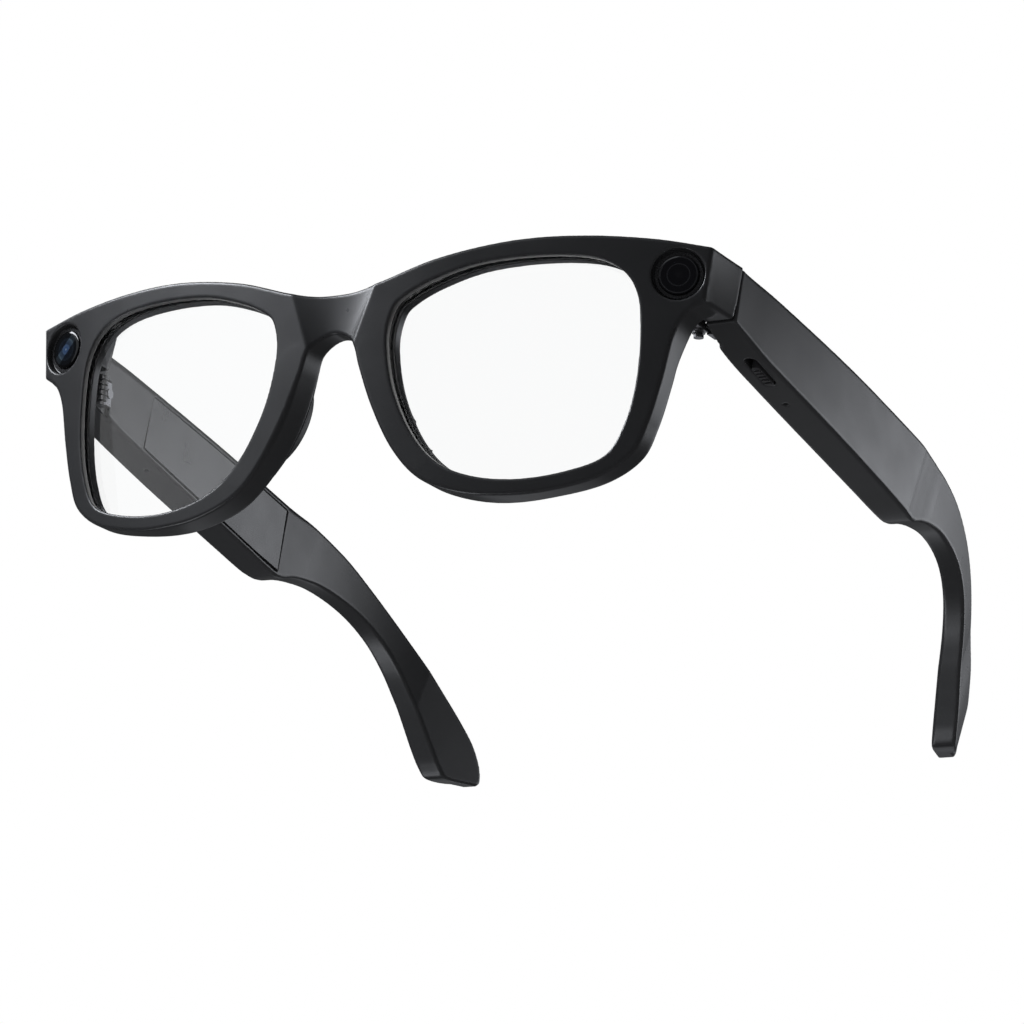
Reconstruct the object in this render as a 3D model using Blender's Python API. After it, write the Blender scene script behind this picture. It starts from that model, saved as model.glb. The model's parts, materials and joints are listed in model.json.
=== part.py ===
"""Camera glasses: a wrapped front with two lenses, a camera and a light, and two folding arms.

Lengths are in millimetres and become metres when a mesh is made. The design space is the front's own:
X is the wearer's left, -Y is forward, and Z runs up the lenses. The stance empty tips everything so that
the rims and the arm tips stand on Z = 0. Everything on the wearer's left is built at +X, and side -1
mirrors it.
"""

import math

import bmesh
import bpy
from mathutils import Matrix, Vector

MM = 0.001
GAP = 0.3

# Front: outlines are given for the +X half, in X and Z.
WRAP = 0.00241
WRAP_EASE = 3.0e-8
RIM_DEPTH = 6.3
BROW_KEYS = [(0, 16.0), (8.5, 16.8), (21, 20.6), (35, 22.9), (48, 23.15), (61, 22.0), (71.5, 20.05)]
UNDER_KEYS = [
    (70.5, 10.1), (67.4, 8.0), (65.2, 3.8), (63.4, -4.4), (61.3, -12.2), (58.6, -18.1), (52.5, -22.3),
    (43.5, -24.5), (34.5, -25.0), (26, -23.7), (19, -20.6), (13.8, -14.8), (9.4, -6.6), (6.3, 1.2),
    (4.4, 6.3), (0, 8.6),
]
OPENING_KEYS = [
    (14.7, 14.1), (20.5, 16.9), (29, 19.3), (40, 20.1), (50, 19.3), (56, 16.5), (59.0, 11.5), (59.7, 4),
    (59.3, -4.5), (57.6, -12.3), (54.2, -18.5), (47, -21.3), (38, -22.4), (29.5, -21.4), (22.5, -18.3),
    (17.2, -12.4), (13.1, -3.6), (11.4, 5.5), (12.3, 11.4),
]
BEND_STEP = 9.0

# Middle of the brow's rear face, where the cable strip runs.
STRIP_KEYS = [
    (0, 14.2), (9, 15.0), (14.5, 16.6), (20.5, 18.9), (29, 20.85), (40, 21.65), (50, 21.15), (60.5, 19.2),
]

# Lenses sit in a groove round each opening.
LENS_FRONT = 1.7
LENS_THICK = 2.0
LENS_BITE = 0.8

# Sensor ports in the end pieces: the camera at -X, the light at +X.
PORT_X = 65.8
PORT_Z = 15.2
PORT_RADIUS = 4.9
PORT_STEP_RADIUS = 4.2
PORT_STEP = 1.5
PORT_SEAT = 0.8
PORT_WELL_RADIUS = 3.2
PORT_WELL = 4.9

# End pieces and the joint with the arms.
JOINT_LOW = (20.4, 8.9)
JOINT_HIGH = (23.4, 19.7)
HINGE_X = 64.2
HINGE_Y = 22.6
HINGE_LOW = 7.9
BARREL_RADIUS = 1.25
BARREL_HEIGHT = 0.76
BARREL_PITCH = 1.06
BARRELS = 5
PIN_RADIUS = 0.5
FRONT_SCREW_Y = 19.2
FRONT_SCREW_Z = 11.75
ARM_SCREW_Y = 26.2
ARM_SCREW_Z = 10.4
SCREW_HOLE_RADIUS = 0.75
LEAF_NEAR = 0.9
LEAF_FAR = 1.85

# Low and high corners of the boxes for the leaves, the cables, the end pieces' rear and the contacts.
FRONT_LEAF_SEAT = ((60.0, 16.6, 4.0), (66.4, 30.0, 13.5))
ARM_LEAF_SEAT = ((60.0, 10.0, 4.0), (66.4, 28.0, 13.5))
REAR_POCKET = ((66.7, 14.5, 13.4), (70.3, 30.0, 18.6))
CABLE_WAY = ((68.2, 12.0, 14.4), (69.6, 33.0, 16.2))
CABLE_NOTCH = ((68.2, 15.0, 14.6), (69.4, 28.0, 16.4))
CABLE_STUB = ((68.7, 23.3, 14.7), (69.0, 32.0, 15.9))
CONTACT_SEAT = ((-4.4, 4.6, 10.6), (4.4, 9.0, 14.0))
CONTACT_PLATE = ((-4.1, 4.9, 10.9), (4.1, 6.25, 13.7))
STUD_RADIUS = 0.7
STUD_X = 2.0

# Nose pads: middle, half length and half width, lean towards the nose going up, and (lift, share) levels.
PAD_X = 12.2
PAD_Z = -6.4
PAD_LONG = 8.6
PAD_WIDE = 2.1
PAD_TAPER = 0.4
PAD_LEAN = 0.40
PAD_FLARE = 0.30
PAD_GAP = 0.8
PAD_LEVELS = [(0.0, 1.0), (0.9, 0.98), (2.0, 0.88), (3.0, 0.68), (3.7, 0.4), (4.0, 0.12)]

# Arm stations: lower edge (Y, Z), upper edge (Y, Z), thickness.
ARM = [
    ((20.75, 8.8), (23.75, 19.55), 6.9),
    ((26.5, 6.8), (28.6, 19.1), 7.0),
    ((33, 4.8), (35.6, 18.35), 7.2),
    ((42, 2.8), (44.8, 17.1), 7.4),
    ((56, -0.1), (59, 15.1), 7.6),
    ((70, -2.9), (73.2, 13.0), 7.6),
    ((84, -5.7), (87.4, 10.7), 7.4),
    ((96, -8.1), (99.4, 8.75), 7.1),
    ((100.5, -8.3), (102.8, 8.15), 6.7),
    ((105.5, -7.1), (107.2, 7.4), 6.1),
    ((111, -6.4), (112.8, 6.5), 5.4),
    ((118, -6.3), (120, 4.9), 4.9),
    ((126, -7.6), (128.4, 2.0), 4.6),
    ((133, -10.0), (136.6, -2.7), 4.6),
    ((139, -13.9), (144, -8.3), 4.7),
    ((143.3, -19), (150.9, -14.8), 4.9),
    ((146.5, -25), (156.6, -21.3), 5.2),
    ((149.2, -31), (161.3, -26.9), 5.5),
    ((151.2, -35.6), (164.8, -32), 5.4),
    ((152.6, -38.6), (166.3, -37.2), 5.2),
    ((154.2, -40.9), (166.0, -40.0), 4.7),
    ((156.4, -41.443), (164.7, -41.2), 3.9),
]
SPLAY_START = 64.9
SPLAY_SLOPE = 0.042
BEND_ANGLE = math.radians(30)
BEND_FROM = 98.0
BEND_TO = 141.0
BEND_RATE = 0.0043
TIP_SLOPE = 0.30
EDGE = 0.7
INNER_TOP_EDGE = 1.6
WALL = 1.3
LID_THICK = 1.2
LID_FROM = 42.0
LID_TO = 98.0
LID_BELOW = EDGE + 0.5
LID_ABOVE = INNER_TOP_EDGE + 0.5
LIP = 0.6
HOLLOW_FROM = 29.5
HOLLOW_DEPTH = LID_THICK + GAP + 0.7
CORE_RADIUS = 0.7
CORE_STATIONS = slice(7, -3)

# Moving controls in the arms.
SLIDE_Y = 37.9
SLIDE_DEPTH = 4.1
SLIDE_LONG = 7.2
SLIDE_WIDE = 1.7
SLIDE_TRAVEL = 2.4
SLIDE_RIBS = 5
RIB_PITCH = 1.15
RIB_WIDTH = 0.44
RIB_HEIGHT = 0.3
BUTTON_Y = 40.0
BUTTON_DEPTH = 4.1
BUTTON_LONG = 8.4
BUTTON_WIDE = 2.2
BUTTON_PROUD = 0.4
MIC_Y = 49.0
MIC_DEPTH = 3.4
MIC_RADIUS = 0.45
SOUND_Y = 89.0
SOUND_DEPTH = 3.6
SOUND_LONG = 6.0
SOUND_WIDE = 0.9

# Stance: the tilt that puts rims and tips on one level, then the lift and shift to the box's bottom centre.
TILT = math.radians(6.11)
LIFT = 24.561
BACK_SHIFT = -83.81

FRONT_BLACK = (0.022, 0.023, 0.025)
ARM_BLACK = (0.026, 0.027, 0.029)
DARK_GLASS = (0.008, 0.009, 0.012)
CLEAR_GLASS = (0.92, 0.95, 0.95)
BRIGHT_METAL = (0.72, 0.72, 0.73)
BOARD_GREEN = (0.02, 0.11, 0.05)
FOIL = (0.62, 0.62, 0.64)
AMBER_FILM = (0.42, 0.20, 0.04)


def clear_scene():
    for obj in list(bpy.data.objects):
        bpy.data.objects.remove(obj, do_unlink=True)


def material(name, color, roughness, metallic=0.0, alpha=1.0):
    mat = bpy.data.materials.get(name)
    if mat:
        return mat
    mat = bpy.data.materials.new(name)
    mat.use_nodes = True
    shader = mat.node_tree.nodes["Principled BSDF"]
    shader.inputs["Base Color"].default_value = (*color, 1.0)
    shader.inputs["Roughness"].default_value = roughness
    shader.inputs["Metallic"].default_value = metallic
    shader.inputs["Alpha"].default_value = alpha
    return mat


def satin_front():
    return material("satin_front", FRONT_BLACK, 0.45)


def satin_arm():
    return material("satin_arm", ARM_BLACK, 0.45)


def dark_glass():
    return material("dark_glass", DARK_GLASS, 0.05)


def clear_lens():
    return material("clear_lens", CLEAR_GLASS, 0.03, alpha=0.25)


def bright_metal():
    return material("bright_metal", BRIGHT_METAL, 0.25, 1.0)


def board_green():
    return material("board_green", BOARD_GREEN, 0.5)


def foil():
    return material("foil", FOIL, 0.4, 0.8)


def amber_film():
    return material("amber_film", AMBER_FILM, 0.4)


def dark_plastic():
    return material("dark_plastic", (0.03, 0.03, 0.032), 0.6)


def smooth_through(keys, closed, steps):
    """Points of a Catmull-Rom curve through the keys."""
    count = len(keys)
    spans = count if closed else count - 1
    points = []
    for i in range(spans):
        if closed:
            a, b, c, d = (Vector(keys[(i + k) % count]) for k in (-1, 0, 1, 2))
        else:
            b, c = Vector(keys[i]), Vector(keys[i + 1])
            a = Vector(keys[i - 1]) if i else 2 * b - c
            d = Vector(keys[i + 2]) if i + 2 < count else 2 * c - b
        for k in range(steps):
            t = k / steps
            point = 2 * b + (c - a) * t + (2 * a - 5 * b + 4 * c - d) * t**2
            points.append(0.5 * (point + (3 * b - a - 3 * c + d) * t**3))
    if not closed:
        points.append(Vector(keys[-1]))
    return points


def both_halves(keys):
    return [(-x, z) for x, z in reversed(keys[1:])] + list(keys)


def front_outline(steps):
    """The whole outline of the front, from the +X low corner under both rims and back over the brow."""
    under = [(x, z) for x, z in UNDER_KEYS] + [(-x, z) for x, z in reversed(UNDER_KEYS[:-1])]
    return smooth_through(under, False, steps) + smooth_through(both_halves(BROW_KEYS), False, steps)


def grown(points, by):
    """A closed outline moved outwards by a distance, for points that run clockwise."""
    count = len(points)
    moved = []
    for i, point in enumerate(points):
        along = (points[(i + 1) % count] - points[i - 1]).normalized()
        moved.append(point + by * Vector((-along.y, along.x)))
    return moved


def opening(by):
    return grown(smooth_through(OPENING_KEYS, True, 3), by)


def front_y(x):
    return WRAP * x * x - WRAP_EASE * x**4


def loft(rings):
    """A closed body through rings of equal length, capped at both ends."""
    body = bmesh.new()
    loops = [[body.verts.new(point) for point in ring] for ring in rings]
    for near, far in zip(loops, loops[1:]):
        for i in range(len(near)):
            j = (i + 1) % len(near)
            body.faces.new((near[i], near[j], far[j], far[i]))
    body.faces.new(loops[0])
    body.faces.new(loops[-1])
    bmesh.ops.recalc_face_normals(body, faces=body.faces)
    return body


def prism(outline, near, far):
    """An XZ outline drawn out along Y."""
    return loft([[(p[0], y, p[1]) for p in outline] for y in (near, far)])


def box(low, high):
    x0, y0, z0 = low
    x1, y1, z1 = high
    return loft([[(x0, y0, z), (x1, y0, z), (x1, y1, z), (x0, y1, z)] for z in (z0, z1)])


def turned(profile, base, axis, sides):
    """A round body from (radius, height) pairs along an axis."""
    axis = Vector(axis).normalized()
    across = axis.orthogonal().normalized()
    other = axis.cross(across)
    rings = []
    for radius, height in profile:
        ring = []
        for k in range(sides):
            angle = math.tau * (k + 0.5) / sides
            ring.append(
                Vector(base) + axis * height + radius * (math.cos(angle) * across + math.sin(angle) * other)
            )
        rings.append(ring)
    return loft(rings)


def rod(radius, base, axis, length, sides=16):
    return turned([(radius, 0), (radius, length)], base, axis, sides)


def wrapped(body):
    """Bends a flat front body round the face: each point moves back by the wrap at its X."""
    edges = [v.co.x for v in body.verts]
    first = math.ceil(min(edges) / BEND_STEP)
    last = math.floor(max(edges) / BEND_STEP)
    for k in range(first, last + 1):
        everything = list(body.verts) + list(body.edges) + list(body.faces)
        spot = (k * BEND_STEP, 0, 0)
        bmesh.ops.bisect_plane(body, geom=everything, plane_co=spot, plane_no=(1, 0, 0), dist=1e-4)
    bmesh.ops.triangulate(body, faces=body.faces)
    for vert in body.verts:
        vert.co.y += front_y(vert.co.x)
    return body


def make(name, body, finish, parent, origin=(0, 0, 0), side=1):
    """Turns a bmesh in millimetres into a named object under an empty, its origin at a design point."""
    bmesh.ops.triangulate(body, faces=body.faces)
    if side < 0:
        bmesh.ops.scale(body, vec=(-1, 1, 1), verts=body.verts)
        bmesh.ops.reverse_faces(body, faces=body.faces)
        origin = (-origin[0], origin[1], origin[2])
    mesh = bpy.data.meshes.new(name)
    body.to_mesh(mesh)
    body.free()
    mesh.transform(Matrix.Scale(MM, 4) @ Matrix.Translation(-Vector(origin)))
    obj = bpy.data.objects.new(name, mesh)
    bpy.context.scene.collection.objects.link(obj)
    if finish:
        mesh.materials.append(finish)
    obj.parent = parent
    base = Vector(parent["design_point"]) if parent else Vector((0, 0, 0))
    obj.location = (Vector(origin) - base) * MM
    return obj


def empty(name, point, parent):
    obj = bpy.data.objects.new(name, None)
    bpy.context.scene.collection.objects.link(obj)
    base = Vector(parent["design_point"]) if parent else Vector((0, 0, 0))
    obj.parent = parent
    obj.location = (Vector(point) - base) * MM
    obj["design_point"] = list(point)
    return obj


def combine(obj, bodies, operation, side=1):
    """Cuts bodies from an object, or unites them with it, and keeps the result as its mesh.

    The exact solver leaves open edges where shallow cuts meet the wrapped faces. The manifold one does not.
    """
    for body in bodies:
        helper = make("helper", body, None, obj.parent, side=side)
        step = obj.modifiers.new("step", "BOOLEAN")
        step.operation = operation
        step.solver = "MANIFOLD"
        step.object = helper
        bpy.context.view_layer.update()
        graph = bpy.context.evaluated_depsgraph_get()
        result = bpy.data.meshes.new_from_object(obj.evaluated_get(graph))
        obj.modifiers.clear()
        obj.data = result
        bpy.data.objects.remove(helper, do_unlink=True)
    return obj


def shade(obj, degrees=32):
    obj.data.shade_smooth()
    obj.data.set_sharp_from_angle(angle=math.radians(degrees))


def port_axis():
    slope = 2 * WRAP * PORT_X - 4 * WRAP_EASE * PORT_X**3
    return Vector((-slope, 1, 0)).normalized()


def port_point(depth):
    return Vector((PORT_X, front_y(PORT_X), PORT_Z)) + port_axis() * depth


def joint_y(z):
    (y0, z0), (y1, z1) = JOINT_LOW, JOINT_HIGH
    return y0 + (z - z0) * (y1 - y0) / (z1 - z0)


def end_piece():
    """The block that carries the front's side back to the joint with the arm."""
    low, high = 9.3, 19.85
    front = [(60.9, 12.5, 10.4), (70.8, 13.2, 10.2), (71.4, 13.2, 19.95), (60.9, 12.5, 19.9)]
    middle = [(62.3, 17.5, low), (71.5, 17.5, low), (71.8, 17.5, high), (62.3, 17.5, high)]
    low_rear, high_rear = JOINT_LOW[1], JOINT_HIGH[1]
    rear = [
        (64.6, joint_y(low_rear), low_rear),
        (72.15, joint_y(low_rear), low_rear),
        (72.3, joint_y(high_rear), high_rear),
        (64.6, joint_y(high_rear), high_rear),
    ]
    return loft([front, middle, rear])


def port_profile():
    """Radius and depth of a port's recess, the window's seat and the well behind it."""
    seat = PORT_STEP + PORT_SEAT
    return [
        (PORT_RADIUS, -2), (PORT_RADIUS, PORT_STEP),
        (PORT_STEP_RADIUS, PORT_STEP), (PORT_STEP_RADIUS, seat),
        (PORT_WELL_RADIUS, seat), (PORT_WELL_RADIUS, PORT_WELL),
    ]


def build_front(stance):
    outline = front_outline(3)
    frame = make("front_frame", wrapped(prism(outline, 0, RIM_DEPTH)), satin_front(), stance)
    groove_near = LENS_FRONT - GAP
    groove_far = LENS_FRONT + LENS_THICK + GAP
    for side in (1, -1):
        hole = wrapped(prism(opening(0), -2, RIM_DEPTH + 2))
        groove = wrapped(prism(opening(LENS_BITE + GAP), groove_near, groove_far))
        combine(frame, [hole, groove], "DIFFERENCE", side)
        combine(frame, [end_piece()], "UNION", side)
        axis = port_axis()
        port = turned(port_profile(), port_point(0), axis, 32)
        seats = [box(*REAR_POCKET), box(*FRONT_LEAF_SEAT), screw_socket(FRONT_SCREW_Y, FRONT_SCREW_Z)]
        combine(frame, [port] + seats, "DIFFERENCE", side)
    channel = brow_strip(1.6, -1.0, 1.85)
    combine(frame, [channel, box(*CONTACT_SEAT)], "DIFFERENCE")
    shade(frame)


def brow_strip(height, near, far):
    """A strip along the rear of the brow, between two depths below the rear face."""
    rings = []
    for x, z in smooth_through(both_halves(STRIP_KEYS), False, 4):
        rear = front_y(x) + RIM_DEPTH
        y0, y1 = rear - far, rear - near
        low, high = z - height / 2, z + height / 2
        rings.append([(x, y0, low), (x, y1, low), (x, y1, high), (x, y0, high)])
    return loft(rings)


def build_brow(stance):
    make("front_flex_cable", brow_strip(1.0, 1.25, 1.55), amber_film(), stance)
    make("brow_cover", brow_strip(1.0, 0.05, 0.95), satin_front(), stance)


def build_lens(name, side, stance):
    body = wrapped(prism(opening(LENS_BITE), LENS_FRONT, LENS_FRONT + LENS_THICK))
    lens = make(name, body, clear_lens(), stance, side=side)
    shade(lens)


def build_nose_pad(name, side, stance):
    """A drop-shaped pad behind the rim's nose side, flat where it is bonded to the rim."""
    rings = []
    count = 20
    for lift, share in PAD_LEVELS:
        ring = []
        for k in range(count):
            angle = math.tau * k / count
            long = PAD_LONG * share * math.sin(angle)
            wide = (PAD_WIDE - PAD_TAPER * math.sin(angle)) * share * math.cos(angle)
            x = PAD_X + wide - PAD_LEAN * long - PAD_FLARE * lift
            ring.append((x, RIM_DEPTH + PAD_GAP + lift, PAD_Z + 0.9 * long))
        rings.append(ring)
    pad = make(name, loft(rings), satin_front(), stance, side=side)
    shade(pad, 50)


def build_contacts(stance):
    plate = make("charge_contacts", box(*CONTACT_PLATE), dark_plastic(), stance)
    middle = (CONTACT_PLATE[0][2] + CONTACT_PLATE[1][2]) / 2
    studs = [rod(STUD_RADIUS, (x, 5.5, middle), (0, 1, 0), 1.0, 12) for x in (-STUD_X, STUD_X)]
    combine(plate, studs, "UNION")


def port_round(name, finish, side, stance, profile, sides=32):
    body = turned(profile, port_point(0), port_axis(), sides)
    piece = make(name, body, finish, stance, side=side)
    shade(piece)


def build_ports(stance):
    """Camera behind the -X port and capture light behind the +X port."""
    window_radius = PORT_STEP_RADIUS - GAP
    disc = [(window_radius, PORT_STEP - 0.5), (window_radius, PORT_STEP + 0.4)]
    port_round("camera_window", dark_glass(), -1, stance, disc)
    port_round("light_window", dark_glass(), 1, stance, disc)
    barrel = [(2.3, 2.2), (2.3, 3.2), (2.8, 3.2), (2.8, 3.9)]
    port_round("camera_lens", dark_plastic(), -1, stance, barrel, 24)
    guide = [(2.8, 2.2), (2.8, 3.0), (1.4, 3.8)]
    port_round("light_guide", clear_lens(), 1, stance, guide, 24)
    port_round("light_board", board_green(), 1, stance, [(2.8, 4.1), (2.8, 4.7)], 24)
    port_round("camera_sensor", board_green(), -1, stance, [(2.8, 4.2), (2.8, 4.7)], 24)


def build_end_cover(name, side, stance):
    """The plate that closes an end piece's rear, just ahead of the joint."""
    low, high = 13.8, 18.3
    rings = []
    for z in (low, high):
        rear = joint_y(z) - 0.1
        rings.append([(67.0, rear - 1.2, z), (70.0, rear - 1.2, z), (70.0, rear, z), (67.0, rear, z)])
    cover = make(name, loft(rings), satin_front(), stance, side=side)
    combine(cover, [box(*CABLE_NOTCH)], "DIFFERENCE", side)


def barrel(index):
    low = HINGE_LOW + index * BARREL_PITCH
    return rod(BARREL_RADIUS, (HINGE_X, HINGE_Y, low), (0, 0, 1), BARREL_HEIGHT, 20)


def web(index, y0, y1):
    low = HINGE_LOW + index * BARREL_PITCH
    return box((HINGE_X, y0, low), (HINGE_X + 1.9, y1, low + BARREL_HEIGHT))


def hinge_bore():
    return rod(PIN_RADIUS + GAP, (HINGE_X, HINGE_Y, HINGE_LOW - 1), (0, 0, 1), 8, 16)


def build_hinge(name, side, stance, axis_empty):
    """Five barrels on one pin: three on the front's leaf and two on the arm's."""
    near, far = HINGE_X + LEAF_NEAR, HINGE_X + LEAF_FAR
    top = HINGE_LOW + (BARRELS - 1) * BARREL_PITCH + BARREL_HEIGHT
    front_plate = box((near, 17.2, HINGE_LOW + 0.2), (far, HINGE_Y - 1.5, top))
    front = make(f"hinge_leaf_front_{name}", front_plate, bright_metal(), stance, side=side)
    even = range(0, BARRELS, 2)
    combine(front, [web(i, HINGE_Y - 2, HINGE_Y) for i in even] + [barrel(i) for i in even], "UNION", side)
    combine(front, [hinge_bore(), screw_hole(FRONT_SCREW_Y, FRONT_SCREW_Z)], "DIFFERENCE", side)
    arm_plate = box((near, HINGE_Y + 1.5, HINGE_LOW + 0.2), (far, 27.6, top))
    arm = make(f"hinge_leaf_arm_{name}", arm_plate, bright_metal(), axis_empty, hinge_point(), side)
    odd = range(1, BARRELS, 2)
    combine(arm, [web(i, HINGE_Y, HINGE_Y + 2) for i in odd] + [barrel(i) for i in odd], "UNION", side)
    combine(arm, [hinge_bore(), screw_hole(ARM_SCREW_Y, ARM_SCREW_Z)], "DIFFERENCE", side)
    head = -0.85
    neck = head + 0.5
    pin = [(0.95, head), (0.95, neck), (PIN_RADIUS, neck), (PIN_RADIUS, top - HINGE_LOW + 0.4)]
    body = turned(pin, hinge_point(), (0, 0, 1), 16)
    make(f"hinge_pin_{name}", body, bright_metal(), stance, side=side)


def hinge_point():
    return (HINGE_X, HINGE_Y, HINGE_LOW)


def screw_hole(y, z):
    return rod(SCREW_HOLE_RADIUS, (HINGE_X - 2, y, z), (1, 0, 0), 8, 12)


def screw_socket(y, z):
    return rod(SCREW_HOLE_RADIUS, (HINGE_X + 1, y, z), (1, 0, 0), 3, 12)


def leaf_screw(name, y, z, side, parent, origin):
    """A short screw through a leaf: its head lies on the leaf and its shank ends in the plastic's hole."""
    head = [(1.0, -0.75), (1.0, -0.3), (0.45, -0.3), (0.45, 2.4)]
    body = turned(head, (HINGE_X + LEAF_NEAR, y, z), (1, 0, 0), 12)
    make(name, body, bright_metal(), parent, origin, side)


def splay(y, z):
    """X of the arm's inner face: a straight splay, then the bend round the ear, then the straight tip."""
    along = math.cos(BEND_ANGLE) * y - math.sin(BEND_ANGLE) * z
    if along < BEND_FROM:
        return SPLAY_START + SPLAY_SLOPE * along
    start = SPLAY_START + SPLAY_SLOPE * BEND_FROM
    if along < BEND_TO:
        return start - BEND_RATE * (along - BEND_FROM) ** 2
    return start - BEND_RATE * (BEND_TO - BEND_FROM) ** 2 - TIP_SLOPE * (along - BEND_TO)


def station(y):
    """Lower point, upper point and thickness of the arm at a lower-edge Y, read between the stations."""
    for (low0, up0, t0), (low1, up1, t1) in zip(ARM, ARM[1:]):
        if y <= low1[0]:
            break
    share = (y - low0[0]) / (low1[0] - low0[0])
    return Vector(low0).lerp(low1, share), Vector(up0).lerp(up1, share), t0 + share * (t1 - t0)


def across_arm(low, up, w, depth):
    """A point of an arm section, w up from the lower edge and depth in from the inner face."""
    along = (up - low).normalized()
    y, z = low + along * w
    middle_y, middle_z = 0.5 * (low + up)
    return (splay(middle_y, middle_z) + depth, y, z)


def arm_ring(low, up, thick):
    """The arm's section: small flats on three edges and a wide one on the inner top edge."""
    low, up = Vector(low), Vector(up)
    width = (up - low).length
    top_edge = min(INNER_TOP_EDGE, 0.3 * thick)
    edge = min(EDGE, 0.2 * thick)
    spots = [
        (edge, thick), (width - edge, thick), (width, thick - edge), (width, top_edge),
        (width - top_edge, 0), (edge, 0), (0, edge), (0, thick - edge),
    ]
    return [across_arm(low, up, w, depth) for w, depth in spots]


def arm_slab(y0, y1, w0, w1, near, far, steps=6):
    """A body inside the arm that follows its sections. A negative w is measured down from the upper edge."""
    rings = []
    for k in range(steps + 1):
        low, up, thick = station(y0 + (y1 - y0) * k / steps)
        width = (up - low).length
        bottom = w0 if w0 >= 0 else width + w0
        top = w1 if w1 > 0 else width + w1
        inner, outer = near(thick), far(thick)
        spots = [(bottom, inner), (top, inner), (top, outer), (bottom, outer)]
        rings.append([across_arm(low, up, w, depth) for w, depth in spots])
    return loft(rings)


def always(value):
    return lambda thick: value


def from_outer(value):
    return lambda thick: thick - value


def lid(grow, near, far):
    return arm_slab(LID_FROM - grow, LID_TO + grow, LID_BELOW - grow, grow - LID_ABOVE, near, far)


def core_path(grow_start):
    """Middle line of the arm's neck and tip, for the metal core."""
    points = []
    for low, up, thick in ARM[CORE_STATIONS]:
        low, up = Vector(low), Vector(up)
        points.append(Vector(across_arm(low, up, 0.5 * (up - low).length, 0.5 * thick)))
    start = points[0] + (points[0] - points[1]).normalized() * grow_start
    return [start] + points


def tube(path, radius, sides, end_grow=0.0):
    """A round rod along a path."""
    rings = []
    path = list(path)
    path[-1] = path[-1] + (path[-1] - path[-2]).normalized() * end_grow
    for i, point in enumerate(path):
        ahead = path[min(i + 1, len(path) - 1)] - path[max(i - 1, 0)]
        ahead.normalize()
        across = ahead.cross(Vector((1, 0, 0))).normalized()
        other = ahead.cross(across)
        ring = []
        for k in range(sides):
            angle = math.tau * k / sides
            ring.append(point + radius * (math.cos(angle) * across + math.sin(angle) * other))
        rings.append(ring)
    return loft(rings)


def build_shell(name, side, axis_empty, cuts):
    rings = [arm_ring(*stop) for stop in ARM]
    shell = make(f"arm_shell_{name}", loft(rings), satin_arm(), axis_empty, hinge_point(), side)
    low, high = LID_BELOW + LIP, -LID_ABOVE - LIP
    hollow = arm_slab(HOLLOW_FROM, LID_TO - LIP, low, high, always(HOLLOW_DEPTH), from_outer(WALL), 10)
    mouth = arm_slab(LID_FROM + LIP, LID_TO - LIP, low, high, always(-1), always(HOLLOW_DEPTH + 1))
    seat = lid(GAP, always(-1), always(LID_THICK + GAP))
    bore = tube(core_path(3.0), CORE_RADIUS + 0.35, 10, 0.6)
    seats = [box(*ARM_LEAF_SEAT), screw_socket(ARM_SCREW_Y, ARM_SCREW_Z), box(*CABLE_WAY)]
    combine(shell, [hollow, mouth, seat] + seats + [bore] + cuts, "DIFFERENCE", side)
    shade(shell)


def arm_place(y, depth, upper=False):
    """A frame on the arm: X runs forward along an edge, Y across towards the outside, Z up the section."""
    low, up, _ = station(y)
    ahead = station(y - 3)
    near = Vector(across_arm(low, up, (up - low).length if upper else 0, depth))
    far = Vector(across_arm(ahead[0], ahead[1], (ahead[1] - ahead[0]).length if upper else 0, depth))
    forward = (far - near).normalized()
    across = Vector((1, 0, 0))
    rise = across.cross(forward).normalized()
    if rise.z < 0:
        rise = -rise
    across = rise.cross(forward).normalized()
    if across.x < 0:
        across = -across
    turn = Matrix((forward, across, rise)).transposed().to_4x4()
    return Matrix.Translation(near) @ turn


def pill(length, width, low, high, sides=8):
    """A round-ended block along X, from one height to another."""
    outline = []
    for k in range(2 * sides + 2):
        half = 0 if k <= sides else 1
        angle = math.pi * (k - half) / sides - math.pi / 2
        shift = (length - width) / 2 * (1 if half == 0 else -1)
        outline.append((shift + width / 2 * math.cos(angle), width / 2 * math.sin(angle)))
    return loft([[(x, y, z) for x, y in outline] for z in (low, high)])


def placed(body, frame):
    body.transform(frame)
    if frame.determinant() < 0:
        bmesh.ops.reverse_faces(body, faces=body.faces)
    return body


def build_lid(name, side, axis_empty):
    cover = lid(0, always(0), always(LID_THICK))
    piece = make(f"arm_cover_{name}", cover, satin_arm(), axis_empty, hinge_point(), side)
    shade(piece)


def build_inside(name, side, axis_empty, pieces):
    """Plain inner pieces that follow the arm: (name, finish, body)."""
    for piece, finish, body in pieces:
        make(f"{piece}_{name}", body, finish, axis_empty, hinge_point(), side)


def board(name, side, axis_empty):
    """The circuit board with its chips, standing against the outer wall."""
    low, high = LID_BELOW + LIP + 0.5, -LID_ABOVE - LIP - 0.5
    base = arm_slab(71.5, 83.5, low, high, from_outer(WALL + 1.1), from_outer(WALL + 0.3))
    piece = make(name, base, board_green(), axis_empty, hinge_point(), side)
    chips = [(72.5, 76.5, 4.0, 8.5, 1.3), (77.8, 82.5, 3.6, 7.0, 1.0), (77.8, 82.0, 8.0, 11.0, 0.8)]
    bodies = []
    for y0, y1, w0, w1, rise in chips:
        near, far = from_outer(WALL + 1.0 + rise), from_outer(WALL + 0.9)
        bodies.append(arm_slab(y0, y1, w0, w1, near, far, 1))
    combine(piece, bodies, "UNION", side)


def slide_frame():
    return arm_place(SLIDE_Y, SLIDE_DEPTH)


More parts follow.
